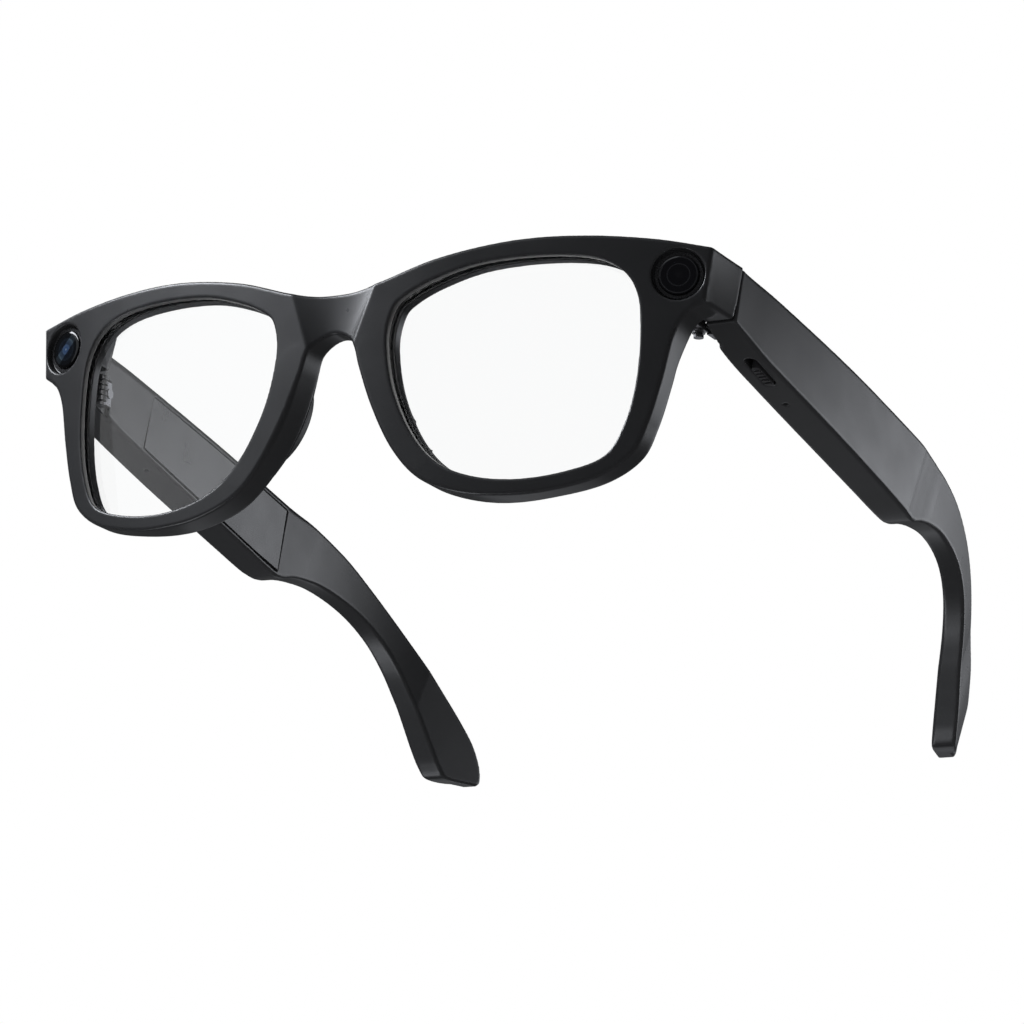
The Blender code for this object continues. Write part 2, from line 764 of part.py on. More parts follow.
def build_slide_switch(side, axis_empty):
    """The power slide under the wearer's left arm: it rests at the rear of its slot."""
    frame = slide_frame()
    knob = placed(pill(SLIDE_LONG, SLIDE_WIDE, -0.25, 2.3), frame)
    origin = frame @ Vector((0, 0, 0))
    piece = make("power_slide", knob, dark_plastic(), axis_empty, origin, side)
    flange = placed(pill(SLIDE_LONG + 1.2, SLIDE_WIDE + 0.3, 2.15, 2.85), frame)
    ribs = []
    side_y = SLIDE_WIDE / 2 - 0.2
    for k in range(SLIDE_RIBS):
        x = (k - (SLIDE_RIBS - 1) / 2) * RIB_PITCH
        low = (x - RIB_WIDTH / 2, -side_y, -0.25 - RIB_HEIGHT)
        ribs.append(placed(box(low, (x + RIB_WIDTH / 2, side_y, 0)), frame))
    combine(piece, [flange] + ribs, "UNION", side)


def slide_slot():
    middle = Matrix.Translation((SLIDE_TRAVEL / 2, 0, 0))
    frame = slide_frame() @ middle
    return placed(pill(SLIDE_LONG + SLIDE_TRAVEL + 2 * GAP, SLIDE_WIDE + 2 * GAP, -2, 3.0), frame)


def button_frame():
    return arm_place(BUTTON_Y, BUTTON_DEPTH, upper=True)


def build_capture_button(side, axis_empty):
    """The capture button on top of the wearer's right arm, with a flange that keeps it in."""
    frame = button_frame()
    cap = placed(pill(BUTTON_LONG, BUTTON_WIDE, -3.3, BUTTON_PROUD), frame)
    piece = make("capture_button", cap, dark_plastic(), axis_empty, frame @ Vector((0, 0, 0)), side)
    flange = placed(box((-3.6, -1.6, -3.9), (3.6, 1.6, -3.25)), frame)
    combine(piece, [flange], "UNION", side)
    tact = placed(box((-2.2, -1.4, -7.4), (2.2, 1.4, -5.6)), frame)
    make("capture_switch", tact, board_green(), axis_empty, hinge_point(), side)
    dome = placed(rod(0.9, (0, 0, -5.3), (0, 0, 1), 0.6, 16), frame)
    make("capture_dome", dome, bright_metal(), axis_empty, hinge_point(), side)


def button_hole():
    return placed(pill(BUTTON_LONG + 2 * GAP, BUTTON_WIDE + 2 * GAP, -3.0, 2.0), button_frame())


def sound_slot():
    """The opening over the speaker, in the arm's upper edge."""
    frame = arm_place(SOUND_Y, SOUND_DEPTH, upper=True)
    return placed(pill(SOUND_LONG + 2 * GAP, SOUND_WIDE + 2 * GAP, -4.0, 2.0), frame)


def sound_mesh():
    frame = arm_place(SOUND_Y, SOUND_DEPTH, upper=True)
    return placed(pill(SOUND_LONG, SOUND_WIDE, -1.0, -0.5), frame)


def microphone_hole():
    return placed(rod(MIC_RADIUS, (0, 0, -1), (0, 0, 1), 4, 10), arm_place(MIC_Y, MIC_DEPTH))


def build_arm(name, side, stance):
    axis_empty = empty(f"hinge_axis_{name}", (side * HINGE_X, HINGE_Y, HINGE_LOW), stance)
    cuts = [sound_slot(), microphone_hole()]
    if side > 0:
        cuts.append(slide_slot())
    else:
        cuts.append(button_hole())
    build_shell(name, side, axis_empty, cuts)
    build_lid(name, side, axis_empty)
    inner, outer = always(HOLLOW_DEPTH + GAP), from_outer(WALL + 0.4)
    low, high = LID_BELOW + LIP, -LID_ABOVE - LIP
    capsule = arm_slab(MIC_Y - 1.6, MIC_Y + 1.6, low + 0.3, low + 1.6, inner, outer, 1)
    pieces = [
        ("tip_core", bright_metal(), tube(core_path(0.5), CORE_RADIUS, 8)),
        ("battery", foil(), arm_slab(54.0, 69.5, low + 0.5, high - 0.5, inner, outer)),
        ("speaker", dark_plastic(), arm_slab(86.0, 93.0, low + 3.0, high - 1.2, inner, outer)),
        ("speaker_mesh", bright_metal(), sound_mesh()),
        ("microphone", bright_metal(), capsule),
        ("arm_flex_cable", amber_film(), box(*CABLE_STUB)),
    ]
    build_inside(name, side, axis_empty, pieces)
    board("power_board" if side > 0 else "main_board", side, axis_empty)
    if side > 0:
        build_slide_switch(side, axis_empty)
        contact = arm_slab(34.0, 41.0, 4.9, 7.4, inner, outer, 1)
        make("slide_contact_board", contact, board_green(), axis_empty, hinge_point(), side)
    else:
        build_capture_button(side, axis_empty)
        near, far = from_outer(WALL + 0.35), from_outer(WALL + 0.1)
        strip = arm_slab(55.0, 68.0, low + 2, high - 2, near, far)
        make("touch_sensor", strip, amber_film(), axis_empty, hinge_point(), side)
    return axis_empty


def main():
    clear_scene()
    stance = empty("stance", (0, 0, 0), None)
    build_front(stance)
    build_brow(stance)
    build_contacts(stance)
    build_ports(stance)
    for name, side in (("left", 1), ("right", -1)):
        build_lens(f"lens_{name}", side, stance)
        build_nose_pad(f"nose_pad_{name}", side, stance)
        build_end_cover(f"end_cover_{name}", side, stance)
        axis_empty = build_arm(name, side, stance)
        build_hinge(name, side, stance, axis_empty)
        leaf_screw(f"front_screw_{name}", FRONT_SCREW_Y, FRONT_SCREW_Z, side, stance, (0, 0, 0))
        leaf_screw(f"arm_screw_{name}", ARM_SCREW_Y, ARM_SCREW_Z, side, axis_empty, hinge_point())
    stance.rotation_euler = (TILT, 0, 0)
    stance.location = (0, BACK_SHIFT * MM, LIFT * MM)


main()
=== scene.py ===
"""Smart glasses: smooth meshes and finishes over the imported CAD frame, with the camera, lights and floor.

Shapes are worked out in the design space of the front, in millimetres: X is the wearer's left, -Y is forward
and Z runs up the lenses. The stance matrix takes them to the row frame in metres.
"""

import itertools
import json
import math

import bmesh
import bpy
import numpy as np
from mathutils import Matrix, Quaternion, Vector


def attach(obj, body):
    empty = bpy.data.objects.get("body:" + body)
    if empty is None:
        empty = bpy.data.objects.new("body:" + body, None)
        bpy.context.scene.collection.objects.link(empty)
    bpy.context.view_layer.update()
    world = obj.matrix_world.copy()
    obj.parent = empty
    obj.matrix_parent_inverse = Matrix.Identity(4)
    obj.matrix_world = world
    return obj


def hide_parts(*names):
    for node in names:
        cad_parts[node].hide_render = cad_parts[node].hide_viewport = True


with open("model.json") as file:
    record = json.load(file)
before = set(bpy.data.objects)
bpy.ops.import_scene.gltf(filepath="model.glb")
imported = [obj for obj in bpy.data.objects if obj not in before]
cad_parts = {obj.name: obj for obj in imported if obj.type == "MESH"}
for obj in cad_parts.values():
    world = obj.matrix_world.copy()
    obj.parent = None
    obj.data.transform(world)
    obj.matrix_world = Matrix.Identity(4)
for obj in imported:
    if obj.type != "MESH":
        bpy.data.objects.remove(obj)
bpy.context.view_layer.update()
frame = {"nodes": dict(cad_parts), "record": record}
nodes = frame["nodes"]

MM = 0.001
CELL = 0.28
CURVE_STEPS = 16

# Stance: the tilt, shift and lift that stand the rims and arm tips on the floor.
TILT = math.radians(6.11)
BACK_SHIFT = -83.81
LIFT = 24.561

# Front outline and lens opening for the +X half, in X and Z.
WRAP = 0.00241
WRAP_EASE = 3.0e-8
RIM_DEPTH = 6.3
BROW_KEYS = [(0, 16.0), (8.5, 16.8), (21, 20.6), (35, 22.9), (48, 23.15), (61, 22.0), (71.5, 20.05)]
UNDER_KEYS = [
    (70.5, 10.1), (67.4, 8.0), (65.2, 3.8), (63.4, -4.4), (61.3, -12.2), (58.6, -18.1), (52.5, -22.3),
    (43.5, -24.5), (34.5, -25.0), (26, -23.7), (19, -20.6), (13.8, -14.8), (9.4, -6.6), (6.3, 1.2),
    (4.4, 6.3), (0, 8.6),
]
OPENING_KEYS = [
    (14.7, 14.1), (20.5, 16.9), (29, 19.3), (40, 20.1), (50, 19.3), (56, 16.5), (59.0, 11.5), (59.7, 4),
    (59.3, -4.5), (57.6, -12.3), (54.2, -18.5), (47, -21.3), (38, -22.4), (29.5, -21.4), (22.5, -18.3),
    (17.2, -12.4), (13.1, -3.6), (11.4, 5.5), (12.3, 11.4),
]
FRONT_LOW = (-0.6, -1.2, -26.0)
FRONT_HIGH = (73.2, 24.6, 24.4)
# The fine outline stands this far proud of the faceted one, whose chords cut inside the curve.
OUTLINE_GROW = 0.1
FRONT_EDGE = 0.45

# Lenses: the groove's place and depth, and its slack round the glass.
LENS_FRONT = 1.7
LENS_THICK = 2.0
LENS_BITE = 0.8
GROOVE_DEEP = 0.25
GROOVE_SLACK = 0.2

# The bridge's front: half the width between its creases, its growth with height, and its setback.
SADDLE_HALF = 5.0
SADDLE_GROWTH = 0.358
SADDLE_AT = 6.2
SADDLE_LIMITS = (4.2, 9.6)
SADDLE_DEPTH = 1.5

# Nose pads: middle in X and Z, lean, half sizes and how far forward they start.
PAD_X = 12.2
PAD_Z = -6.4
PAD_LEAN = 0.40
PAD_LONG = 9.4
PAD_WIDE = 3.2
PAD_DEEP = 5.6
PAD_FROM = 1.6
PAD_FILLET = 1.8
NOSE_TO = 30

# Ports in the end pieces.
PORT_X = 65.8
PORT_Z = 15.2
PORT_RADIUS = 4.9
PORT_STEP_RADIUS = 4.2
PORT_STEP = 1.5
SEAT_DEPTH = 0.8
WELL_RADIUS = 3.2
WELL_DEPTH = 4.9
GLASS_RADIUS = 3.7
GLASS_DEPTH = 0.62
GLASS_DOME = 0.06
GLASS_BEVEL = 0.24
# The camera glass's painted lit band, a painted reflection with painted shade beside it: half its width, its
# soft edge and its slope across the glass.
BAND_HALF = 0.75
BAND_SOFT = 0.2
BAND_SLOPE = math.radians(45)

# Joint plane between front and arm, in Y and Z.
JOINT_LOW = (20.4, 8.9)
JOINT_HIGH = (23.4, 19.7)

# Hollows round the hinge and the cable, as low and high corners.
FRONT_LEAF_SEAT = ((55, 16.6, 0), (66.4, 32, 13.5))
ARM_LEAF_SEAT = ((50, 10, -2), (66.4, 28.0, 13.5))
REAR_POCKET = ((66.7, 14.5, 13.4), (70.3, 32, 18.6))
CABLE_WAY = ((68.2, 12, 14.4), (69.6, 33, 16.2))
HOLLOW_EDGE = 0.2

# Arm stations: lower edge (Y, Z), upper edge (Y, Z), thickness.
ARM = [
    ((20.75, 8.8), (23.75, 19.55), 6.9),
    ((26.5, 6.8), (28.6, 19.1), 7.0),
    ((33, 4.8), (35.6, 18.35), 7.2),
    ((42, 2.8), (44.8, 17.1), 7.4),
    ((56, -0.1), (59, 15.1), 7.6),
    ((70, -2.9), (73.2, 13.0), 7.6),
    ((84, -5.7), (87.4, 10.7), 7.4),
    ((96, -8.1), (99.4, 8.75), 7.1),
    ((100.5, -8.3), (102.8, 8.15), 6.7),
    ((105.5, -7.1), (107.2, 7.4), 6.1),
    ((111, -6.4), (112.8, 6.5), 5.4),
    ((118, -6.3), (120, 4.9), 4.9),
    ((126, -7.6), (128.4, 2.0), 4.6),
    ((133, -10.0), (136.6, -2.7), 4.6),
    ((139, -13.9), (144, -8.3), 4.7),
    ((143.3, -19), (150.9, -14.8), 4.9),
    ((146.5, -25), (156.6, -21.3), 5.2),
    ((149.2, -31), (161.3, -26.9), 5.5),
    ((151.2, -35.6), (164.8, -32), 5.4),
    ((152.6, -38.6), (166.3, -37.2), 5.2),
    ((154.2, -40.9), (166.0, -40.0), 4.7),
    ((156.4, -41.443), (164.7, -41.2), 3.9),
]
SPLAY_START = 64.9
SPLAY_SLOPE = 0.042
BEND_ANGLE = math.radians(30)
BEND_FROM = 98.0
BEND_TO = 141.0
BEND_RATE = 0.0043
TIP_SLOPE = 0.30
EDGE = 0.6
INNER_TOP_EDGE = 1.8
REAR_LIMIT = 85.48
TOP_LIMIT = 48.80
LID_FROM = 42.0
LID_TO = 98.0
LID_THICK = 1.2
LID_GAP = 0.3
LID_LEAN = 3.2
LID_LOW = 1.2
LID_HIGH = 2.1
LID_SEAM = 0.14
ARM_LOW = (54.0, 19.5, -42.6)
ARM_HIGH = (76.6, 167.6, 20.6)

# Slots in the arms' edges: where along the arm, and how deep from the inner face.
SLIDE_Y = 37.9
BUTTON_Y = 40.0
SWITCH_DEPTH = 4.1
SOUND_Y = 89.0
SOUND_DEPTH = 3.6
MIC_Y = 49.0
MIC_DEPTH = 3.4

# Camera, in the design space: what it looks at, its direction and roll, its distance and its focal length.
LOOK_AT = Vector((39.52, 0.0, -29.364))
AZIMUTH = math.radians(28.2)
ELEVATION = math.radians(-15.11)
ROLL = math.radians(2.51)
DISTANCE = 735.443
FOCAL = 145.886
SENSOR = 36.0

# End pieces: where they start and stop, and how they widen, lower and drop towards the joint, per mm.
END_FROM = 11.6
END_BLOCK_FROM = 12.1
END_X = 71.6
END_TOP = 20.05
END_CORNER = (74.5, 19.5)
END_UNDER = 10.0
END_INNER = 62.0
END_LEAN = 0.11
END_WIDEN = 0.075
END_LOWER = 0.02
END_DROP = 0.1

# Light: the surroundings' strength, the lamps' slightly cool white, and the floor's own glow.
WORLD_LIGHT = 0.06
COOL = (0.92, 0.945, 1.0)
FLOOR_SIZE = 3.0
FLOOR_GLOW = 0.78
FLOOR_GLOW_SHARE = 0.65
FLOOR_FADE = (300.0, 1000.0)

# The ports' glass is coloured with rings by radius in millimetres, with their colours, painted for what
# shows behind it: near-black for the dark glass and the painted shade of the well behind, thin lighter rings
# as painted highlights on the edges behind, and on the camera blue painted reflections of the lens, lightest
# in the middle.
RING_REACH = 4.0
DARK = (0.003, 0.003, 0.004)
LIGHT_PAINTED_RINGS = [
    (0.0, (0.006, 0.006, 0.007)), (1.1, DARK), (1.9, DARK), (2.05, (0.02, 0.02, 0.022)), (2.25, DARK),
    (3.2, DARK), (3.4, (0.03, 0.03, 0.032)), (3.5, DARK),
]
CAMERA_PAINTED_RINGS = [
    (0.0, (0.12, 0.16, 0.2)), (0.35, (0.02, 0.04, 0.09)), (0.9, (0.03, 0.05, 0.09)),
    (1.15, (0.012, 0.02, 0.035)), (1.8, (0.02, 0.03, 0.045)), (2.1, (0.035, 0.05, 0.065)),
    (2.4, (0.01, 0.014, 0.018)), (3.0, (0.012, 0.015, 0.018)), (3.3, DARK),
]
SMEAR_SHADE = (0.7, 0.7, 0.75)
# Painted shade beside the camera glass's painted lit band: the ring colours are multiplied by it there.
PAINTED_BAND_SHADE = (0.16, 0.16, 0.18)

STANCE = (
    Matrix.Translation((0, BACK_SHIFT * MM, LIFT * MM)) @ Matrix.Rotation(TILT, 4, "X") @ Matrix.Scale(MM, 4)
)


# ---------------------------------------------------------------- curves and fields


def smooth_through(keys, closed, steps=CURVE_STEPS):
    """Points of a Catmull-Rom curve through the keys."""
    keys = [np.array(key, float) for key in keys]
    count = len(keys)
    points = []
    for i in range(count if closed else count - 1):
        if closed:
            a, b, c, d = (keys[(i + k) % count] for k in (-1, 0, 1, 2))
        else:
            b, c = keys[i], keys[i + 1]
            a = keys[i - 1] if i else 2 * b - c
            d = keys[i + 2] if i + 2 < count else 2 * c - b
        for k in range(steps):
            t = k / steps
            point = 2 * b + (c - a) * t + (2 * a - 5 * b + 4 * c - d) * t**2
            points.append(0.5 * (point + (3 * b - a - 3 * c + d) * t**3))
    if not closed:
        points.append(keys[-1])
    return points


def front_outline():
    """The front's whole closed outline."""
    under = list(UNDER_KEYS) + [(-x, z) for x, z in reversed(UNDER_KEYS[:-1])]
    brow = [(-x, z) for x, z in reversed(BROW_KEYS[1:])] + list(BROW_KEYS)
    return smooth_through(under, False) + smooth_through(brow, False)


def outline_distance(points, us, vs):
    """Signed distance to a closed outline over a grid of two coordinates, negative inside."""
    u, v = np.meshgrid(us, vs, indexing="ij")
    best = np.full(u.shape, 1e12)
    inside = np.zeros(u.shape, bool)
    for start, end in zip(points, points[1:] + points[:1]):
        du, dv = end[0] - start[0], end[1] - start[1]
        long = du * du + dv * dv
        if long < 1e-12:
            continue
        t = np.clip(((u - start[0]) * du + (v - start[1]) * dv) / long, 0, 1)
        np.minimum(best, (u - start[0] - t * du) ** 2 + (v - start[1] - t * dv) ** 2, out=best)
        if dv:
            crosses = (start[1] > v) != (end[1] > v)
            inside ^= crosses & (u < du * (v - start[1]) / dv + start[0])
    best = np.sqrt(best)
    return np.where(inside, -best, best)


def front_y(x):
    """How far back the front's wrap has gone at an X."""
    return WRAP * x * x - WRAP_EASE * x**4


def both(a, b, radius):
    """Overlap of two fields with a rounded edge."""
    deep = np.minimum(np.maximum(a, b), -radius)
    return deep + np.sqrt(np.maximum(a + radius, 0) ** 2 + np.maximum(b + radius, 0) ** 2)


def either(a, b, radius):
    """Union of two fields with a fillet between them."""
    deep = np.maximum(np.minimum(a, b), radius)
    return deep - np.sqrt(np.maximum(radius - a, 0) ** 2 + np.maximum(radius - b, 0) ** 2)


def block(x, y, z, low, high, radius):
    """A box field with rounded edges."""
    middle = [(a + b) / 2 for a, b in zip(low, high)]
    half = [(b - a) / 2 - radius for a, b in zip(low, high)]
    away = [np.abs(p - m) - h for p, m, h in zip((x, y, z), middle, half)]
    outside = np.sqrt(sum(np.maximum(a, 0) ** 2 for a in away))
    return outside + np.minimum(np.maximum(np.maximum(away[0], away[1]), away[2]), 0) - radius


def ease(value, start, end):
    """A smooth step from 0 to 1."""
    t = np.clip((value - start) / (end - start), 0, 1)
    return t * t * (3 - 2 * t)


# ---------------------------------------------------------------- meshing a field

CORNERS = np.array(list(itertools.product((0, 1), repeat=3)))


def sample(grid, at):
    """Values between a grid's nodes, at fractional grid positions."""
    base = np.clip(np.floor(at).astype(int), 0, np.array(grid.shape) - 2)
    part = at - base
    total = np.zeros(len(at))
    for corner in CORNERS:
        weight = np.prod(np.where(corner, part, 1 - part), axis=1)
        total += weight * grid[tuple((base + corner).T)]
    return total


def field_mesh(values, low, cell):
    """Surface net of a field's zero level: points on the level, quads facing out, and smooth normals."""
    inside = values < 0
    count = np.zeros(np.array(values.shape) - 1, np.int8)
    for corner in CORNERS:
        part = [slice(c, c - 1 if c == 0 else None) for c in corner]
        count += inside[tuple(part)]
    cells = np.argwhere((count > 0) & (count < 8))
    at_corners = [values[tuple((cells + corner).T)] for corner in CORNERS]
    total = np.zeros((len(cells), 3))
    hits = np.zeros(len(cells))
    for i, j in itertools.combinations(range(8), 2):
        if np.abs(CORNERS[i] - CORNERS[j]).sum() != 1:
            continue
        a, b = at_corners[i], at_corners[j]
        cross = (a < 0) != (b < 0)
        share = np.where(cross, a / np.where(cross, a - b, 1), 0)
        total += cross[:, None] * (CORNERS[i] + share[:, None] * (CORNERS[j] - CORNERS[i]))
        hits += cross
    at = cells + total / hits[:, None]
    index = np.full(count.shape, -1, np.int32)
    index[tuple(cells.T)] = np.arange(len(cells))
    quads = []
    for a in range(3):
        b, c = (a + 1) % 3, (a + 2) % 3
        first, last = [slice(1, -1)] * 3, [slice(1, -1)] * 3
        first[a], last[a] = slice(0, -1), slice(1, None)
        start, end = inside[tuple(first)], inside[tuple(last)]
        place = np.argwhere(start != end)
        leaving = start[start != end]
        place[:, b] += 1
        place[:, c] += 1
        step_b, step_c = np.eye(3, dtype=int)[b], np.eye(3, dtype=int)[c]
        ring = [place - step_b - step_c, place - step_c, place, place - step_b]
        quad = np.stack([index[tuple(spot.T)] for spot in ring], 1)
        quad[~leaving] = quad[~leaving][:, ::-1]
        quads.append(quad)
    slopes = np.gradient(values.astype(np.float32))
    for _ in range(3):
        slope = np.stack([sample(s, at) for s in slopes], 1)
        size = np.maximum((slope**2).sum(1), 1e-9)
        move = slope * (sample(values, at) / size)[:, None]
        at = at - np.clip(move, -0.5, 0.5)
    slope = np.stack([sample(s, at) for s in slopes], 1)
    normals = slope / np.maximum(np.linalg.norm(slope, axis=1), 1e-9)[:, None]
    return np.array(low) + at * cell, np.concatenate(quads), normals


def largest(points, quads, normals):
    """Drops specks: keeps the connected surface with the most points."""
    label = np.arange(len(points))
    while True:
        lowest = label[quads].min(1)
        before = label.copy()
        for k in range(4):
            np.minimum.at(label, quads[:, k], lowest)
        label = label[label]
        if (label == before).all():
            break
    names, counts = np.unique(label, return_counts=True)
    keep = label == names[counts.argmax()]
    index = np.cumsum(keep) - 1
    return points[keep], index[quads[keep[quads[:, 0]]]], normals[keep]


def put(name, points, faces, normals=None, side=1):
    """A mesh object in the row frame from design-space points in millimetres."""
    points = np.array(points, float)
    faces = [list(map(int, face)) for face in faces]
    if side < 0:
        points = points * [-1, 1, 1]
        faces = [face[::-1] for face in faces]
    mesh = bpy.data.meshes.new(name)
    mesh.from_pydata(points.tolist(), [], faces)
    mesh.transform(STANCE)
    mesh.shade_smooth()
    if normals is not None:
        turned = normals * [side, 1, 1]
        turned = turned @ np.array(STANCE.to_3x3().normalized()).T
        mesh.normals_split_custom_set_from_vertices(turned.tolist())
    mesh.update()
    obj = bpy.data.objects.new(name, mesh)
    bpy.context.scene.collection.objects.link(obj)
    return obj


def grid_axes(low, high, cell):
    return [np.arange(a, b + cell, cell) for a, b in zip(low, high)]


def open_grid(axes):
    """Grid axes that spread over each other in field sums."""
    x, y, z = axes
    return x[:, None, None], y[None, :, None], z[None, None, :]


# ---------------------------------------------------------------- the front


def saddle(x, z):
    """How far the bridge's front is set back between its two creases."""
    half = np.clip(SADDLE_HALF + SADDLE_GROWTH * (z - SADDLE_AT), *SADDLE_LIMITS)
    share = np.clip(1 - (x / half) ** 2, 0, 1)
    return SADDLE_DEPTH * share**0.9


def end_planes(x, y, z):
    """The end piece's outer side and its top, which go back from the front to the joint."""
    back = np.maximum(y - END_FROM, 0)
    lean = END_LEAN * (1 - np.clip(back / 10, 0, 1))
    side = x - END_X + lean * (END_TOP - z) - END_WIDEN * back
    brow = smooth_through(BROW_KEYS + [END_CORNER], False, 8)
    top = z - np.interp(x, [p[0] for p in brow], [p[1] for p in brow]) - OUTLINE_GROW + END_LOWER * back
    return side, top


def end_block(x, y, z, side, top):
    """The block behind each end of the front, up to the joint plane."""
    (y0, z0), (y1, z1) = JOINT_LOW, JOINT_HIGH
    slope = (y1 - y0) / (z1 - z0)
    behind = (y - y0 - slope * (z - z0)) / math.hypot(1, slope)
    under = END_UNDER - END_DROP * (y - END_FROM) - z
    body = both(both(side, under, EDGE), top, 0.35)
    body = both(body, END_INNER - x, 0.8)
    body = both(body, behind, 0.12)
    return np.maximum(body, END_BLOCK_FROM - y)


def outside_height(y, z):
    """Distance below the floor plane or above the object's top, whichever is further."""
    height = LIFT + y * math.sin(TILT) + z * math.cos(TILT)
    return np.maximum(0.02 - height, height - TOP_LIMIT)


def pad_field(x, y, z):
    """The swelling of a nose pad behind the rim's nose side."""
    long = (z - PAD_Z) / 0.9
    middle = PAD_X - PAD_LEAN * long
    lift = (y - RIM_DEPTH + 1.5) / PAD_DEEP
    wide = (x - middle + 0.2 * (y - 5)) / (PAD_WIDE - 0.03 * long)
    body = (long / PAD_LONG) ** 2 + wide**2 + np.maximum(lift, 0) ** 2
    return np.maximum((np.sqrt(body) - 1) * 2.9, PAD_FROM - y)


def front_fields():
    """Grid and fields of the front's +X half: the body with everything cut, and the nose pad's skin."""
    axes = grid_axes(FRONT_LOW, FRONT_HIGH, CELL)
    axes[0] = np.arange(0, FRONT_HIGH[0] + CELL, CELL)
    x, y, z = open_grid(axes)
    outline = outline_distance(front_outline(), axes[0], axes[2])[:, None, :]
    opening = outline_distance(smooth_through(OPENING_KEYS, True), axes[0], axes[2])[:, None, :]
    setback = saddle(x, z)
    bent = y - front_y(x)
    slope = 2 * WRAP * x - 4 * WRAP_EASE * x**3
    flat = np.sqrt(1 + slope**2)
    body = both(-(bent - setback) / flat, outline - OUTLINE_GROW, FRONT_EDGE)
    # The rear edge is fuller along the outer and lower side of each rim.
    fuller = ease(x, 30, 45) * (1 - ease(z, -2, 5))
    body = both(body, (bent - RIM_DEPTH) / flat, FRONT_EDGE + 1.6 * fuller)
    side, top = end_planes(x, y, z)
    body = np.where((x > 64) & (y > END_FROM), np.maximum(body, top), body)
    ends = end_block(x, y, z, side, top)
    fillet = 2.0 * (1 - ease(z, 10.5, 13.5)) * (1 - ease(x, 68.0, 71.0)) + 0.02
    body = np.where((x > 58) & (y > 9), either(body, ends, fillet), body)
    body = both(body, outside_height(y, z), 0.3)
    pads = np.maximum(pad_field(x, bent, z), 1.0 - opening)
    swollen = either(body, pads, PAD_FILLET)
    body = np.where(x < NOSE_TO, both(swollen, bent - RIM_DEPTH, 0.05), body)
    body_cut = both(body, -opening - 0.3, 0.3)
    beside = np.abs(bent - LENS_FRONT - LENS_THICK / 2) - LENS_THICK / 2 - GROOVE_SLACK
    body_cut = np.maximum(body_cut, -np.maximum(opening - LENS_BITE - GROOVE_DEEP, beside))
    body_cut = port_cut(body_cut, x, y, z)
    for low, high in (FRONT_LEAF_SEAT, REAR_POCKET):
        body_cut = np.maximum(body_cut, -block(x, y, z, low, high, HOLLOW_EDGE))
    pad = np.maximum(np.maximum(swollen, RIM_DEPTH + 0.03 - bent), x - NOSE_TO)
    return axes, body_cut, pad


def port_frame():
    """The +X port's point on the front's surface, and its axis into the front."""
    slope = 2 * WRAP * PORT_X - 4 * WRAP_EASE * PORT_X**3
    axis = Vector((-slope, 1, 0)).normalized()
    return Vector((PORT_X, front_y(PORT_X), PORT_Z)), axis


def port_cut(body, x, y, z):
    """Cuts the port: a round recess, a step and the well behind it."""
    at, axis = port_frame()
    depth = (x - at.x) * axis.x + (y - at.y) * axis.y
    across = (x - at.x) * axis.y - (y - at.y) * axis.x
    radius = np.sqrt(across**2 + (z - at.z) ** 2)
    recess = np.maximum(radius - PORT_RADIUS, depth - PORT_STEP)
    seat = np.maximum(radius - PORT_STEP_RADIUS, depth - PORT_STEP - SEAT_DEPTH)
    well = np.maximum(radius - WELL_RADIUS, depth - WELL_DEPTH)
    body = both(body, -recess, 0.15)
    body = both(body, -seat, 0.12)
    return np.maximum(body, -well)


def mirrored(values):
    """A +X half field made whole."""
    return np.concatenate([values[:0:-1], values], 0)


def build_front():
    """The front as one surface, and the nose pads' skins."""
    axes, body, pad = front_fields()
    start = (-axes[0][-1], *FRONT_LOW[1:])
    points, quads, normals = largest(*field_mesh(mirrored(body).astype(np.float32), start, CELL))
    front = put("front_shell", points, quads, normals)
    cover(front, "front", ["front_frame"], satin("front", 0.0))
    nose = pad[: int((NOSE_TO + 2) / CELL)]
    points, quads, normals = largest(*field_mesh(nose.astype(np.float32), (0, *FRONT_LOW[1:]), CELL))
    for name, side in (("left", 1), ("right", -1)):
        piece = put(f"nose_pad_skin_{name}", points, quads, normals, side)
        cover(piece, "front", [f"nose_pad_{name}"], satin("front", 0.0))


def cover(piece, body, replaced, material):
    """Gives a piece its finish, the body that it rides on and the CAD nodes that it stands for."""
    piece.data.materials.clear()
    piece.data.materials.append(material)
    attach(piece, body)
    if replaced:
        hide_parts(*replaced)


# ---------------------------------------------------------------- lenses


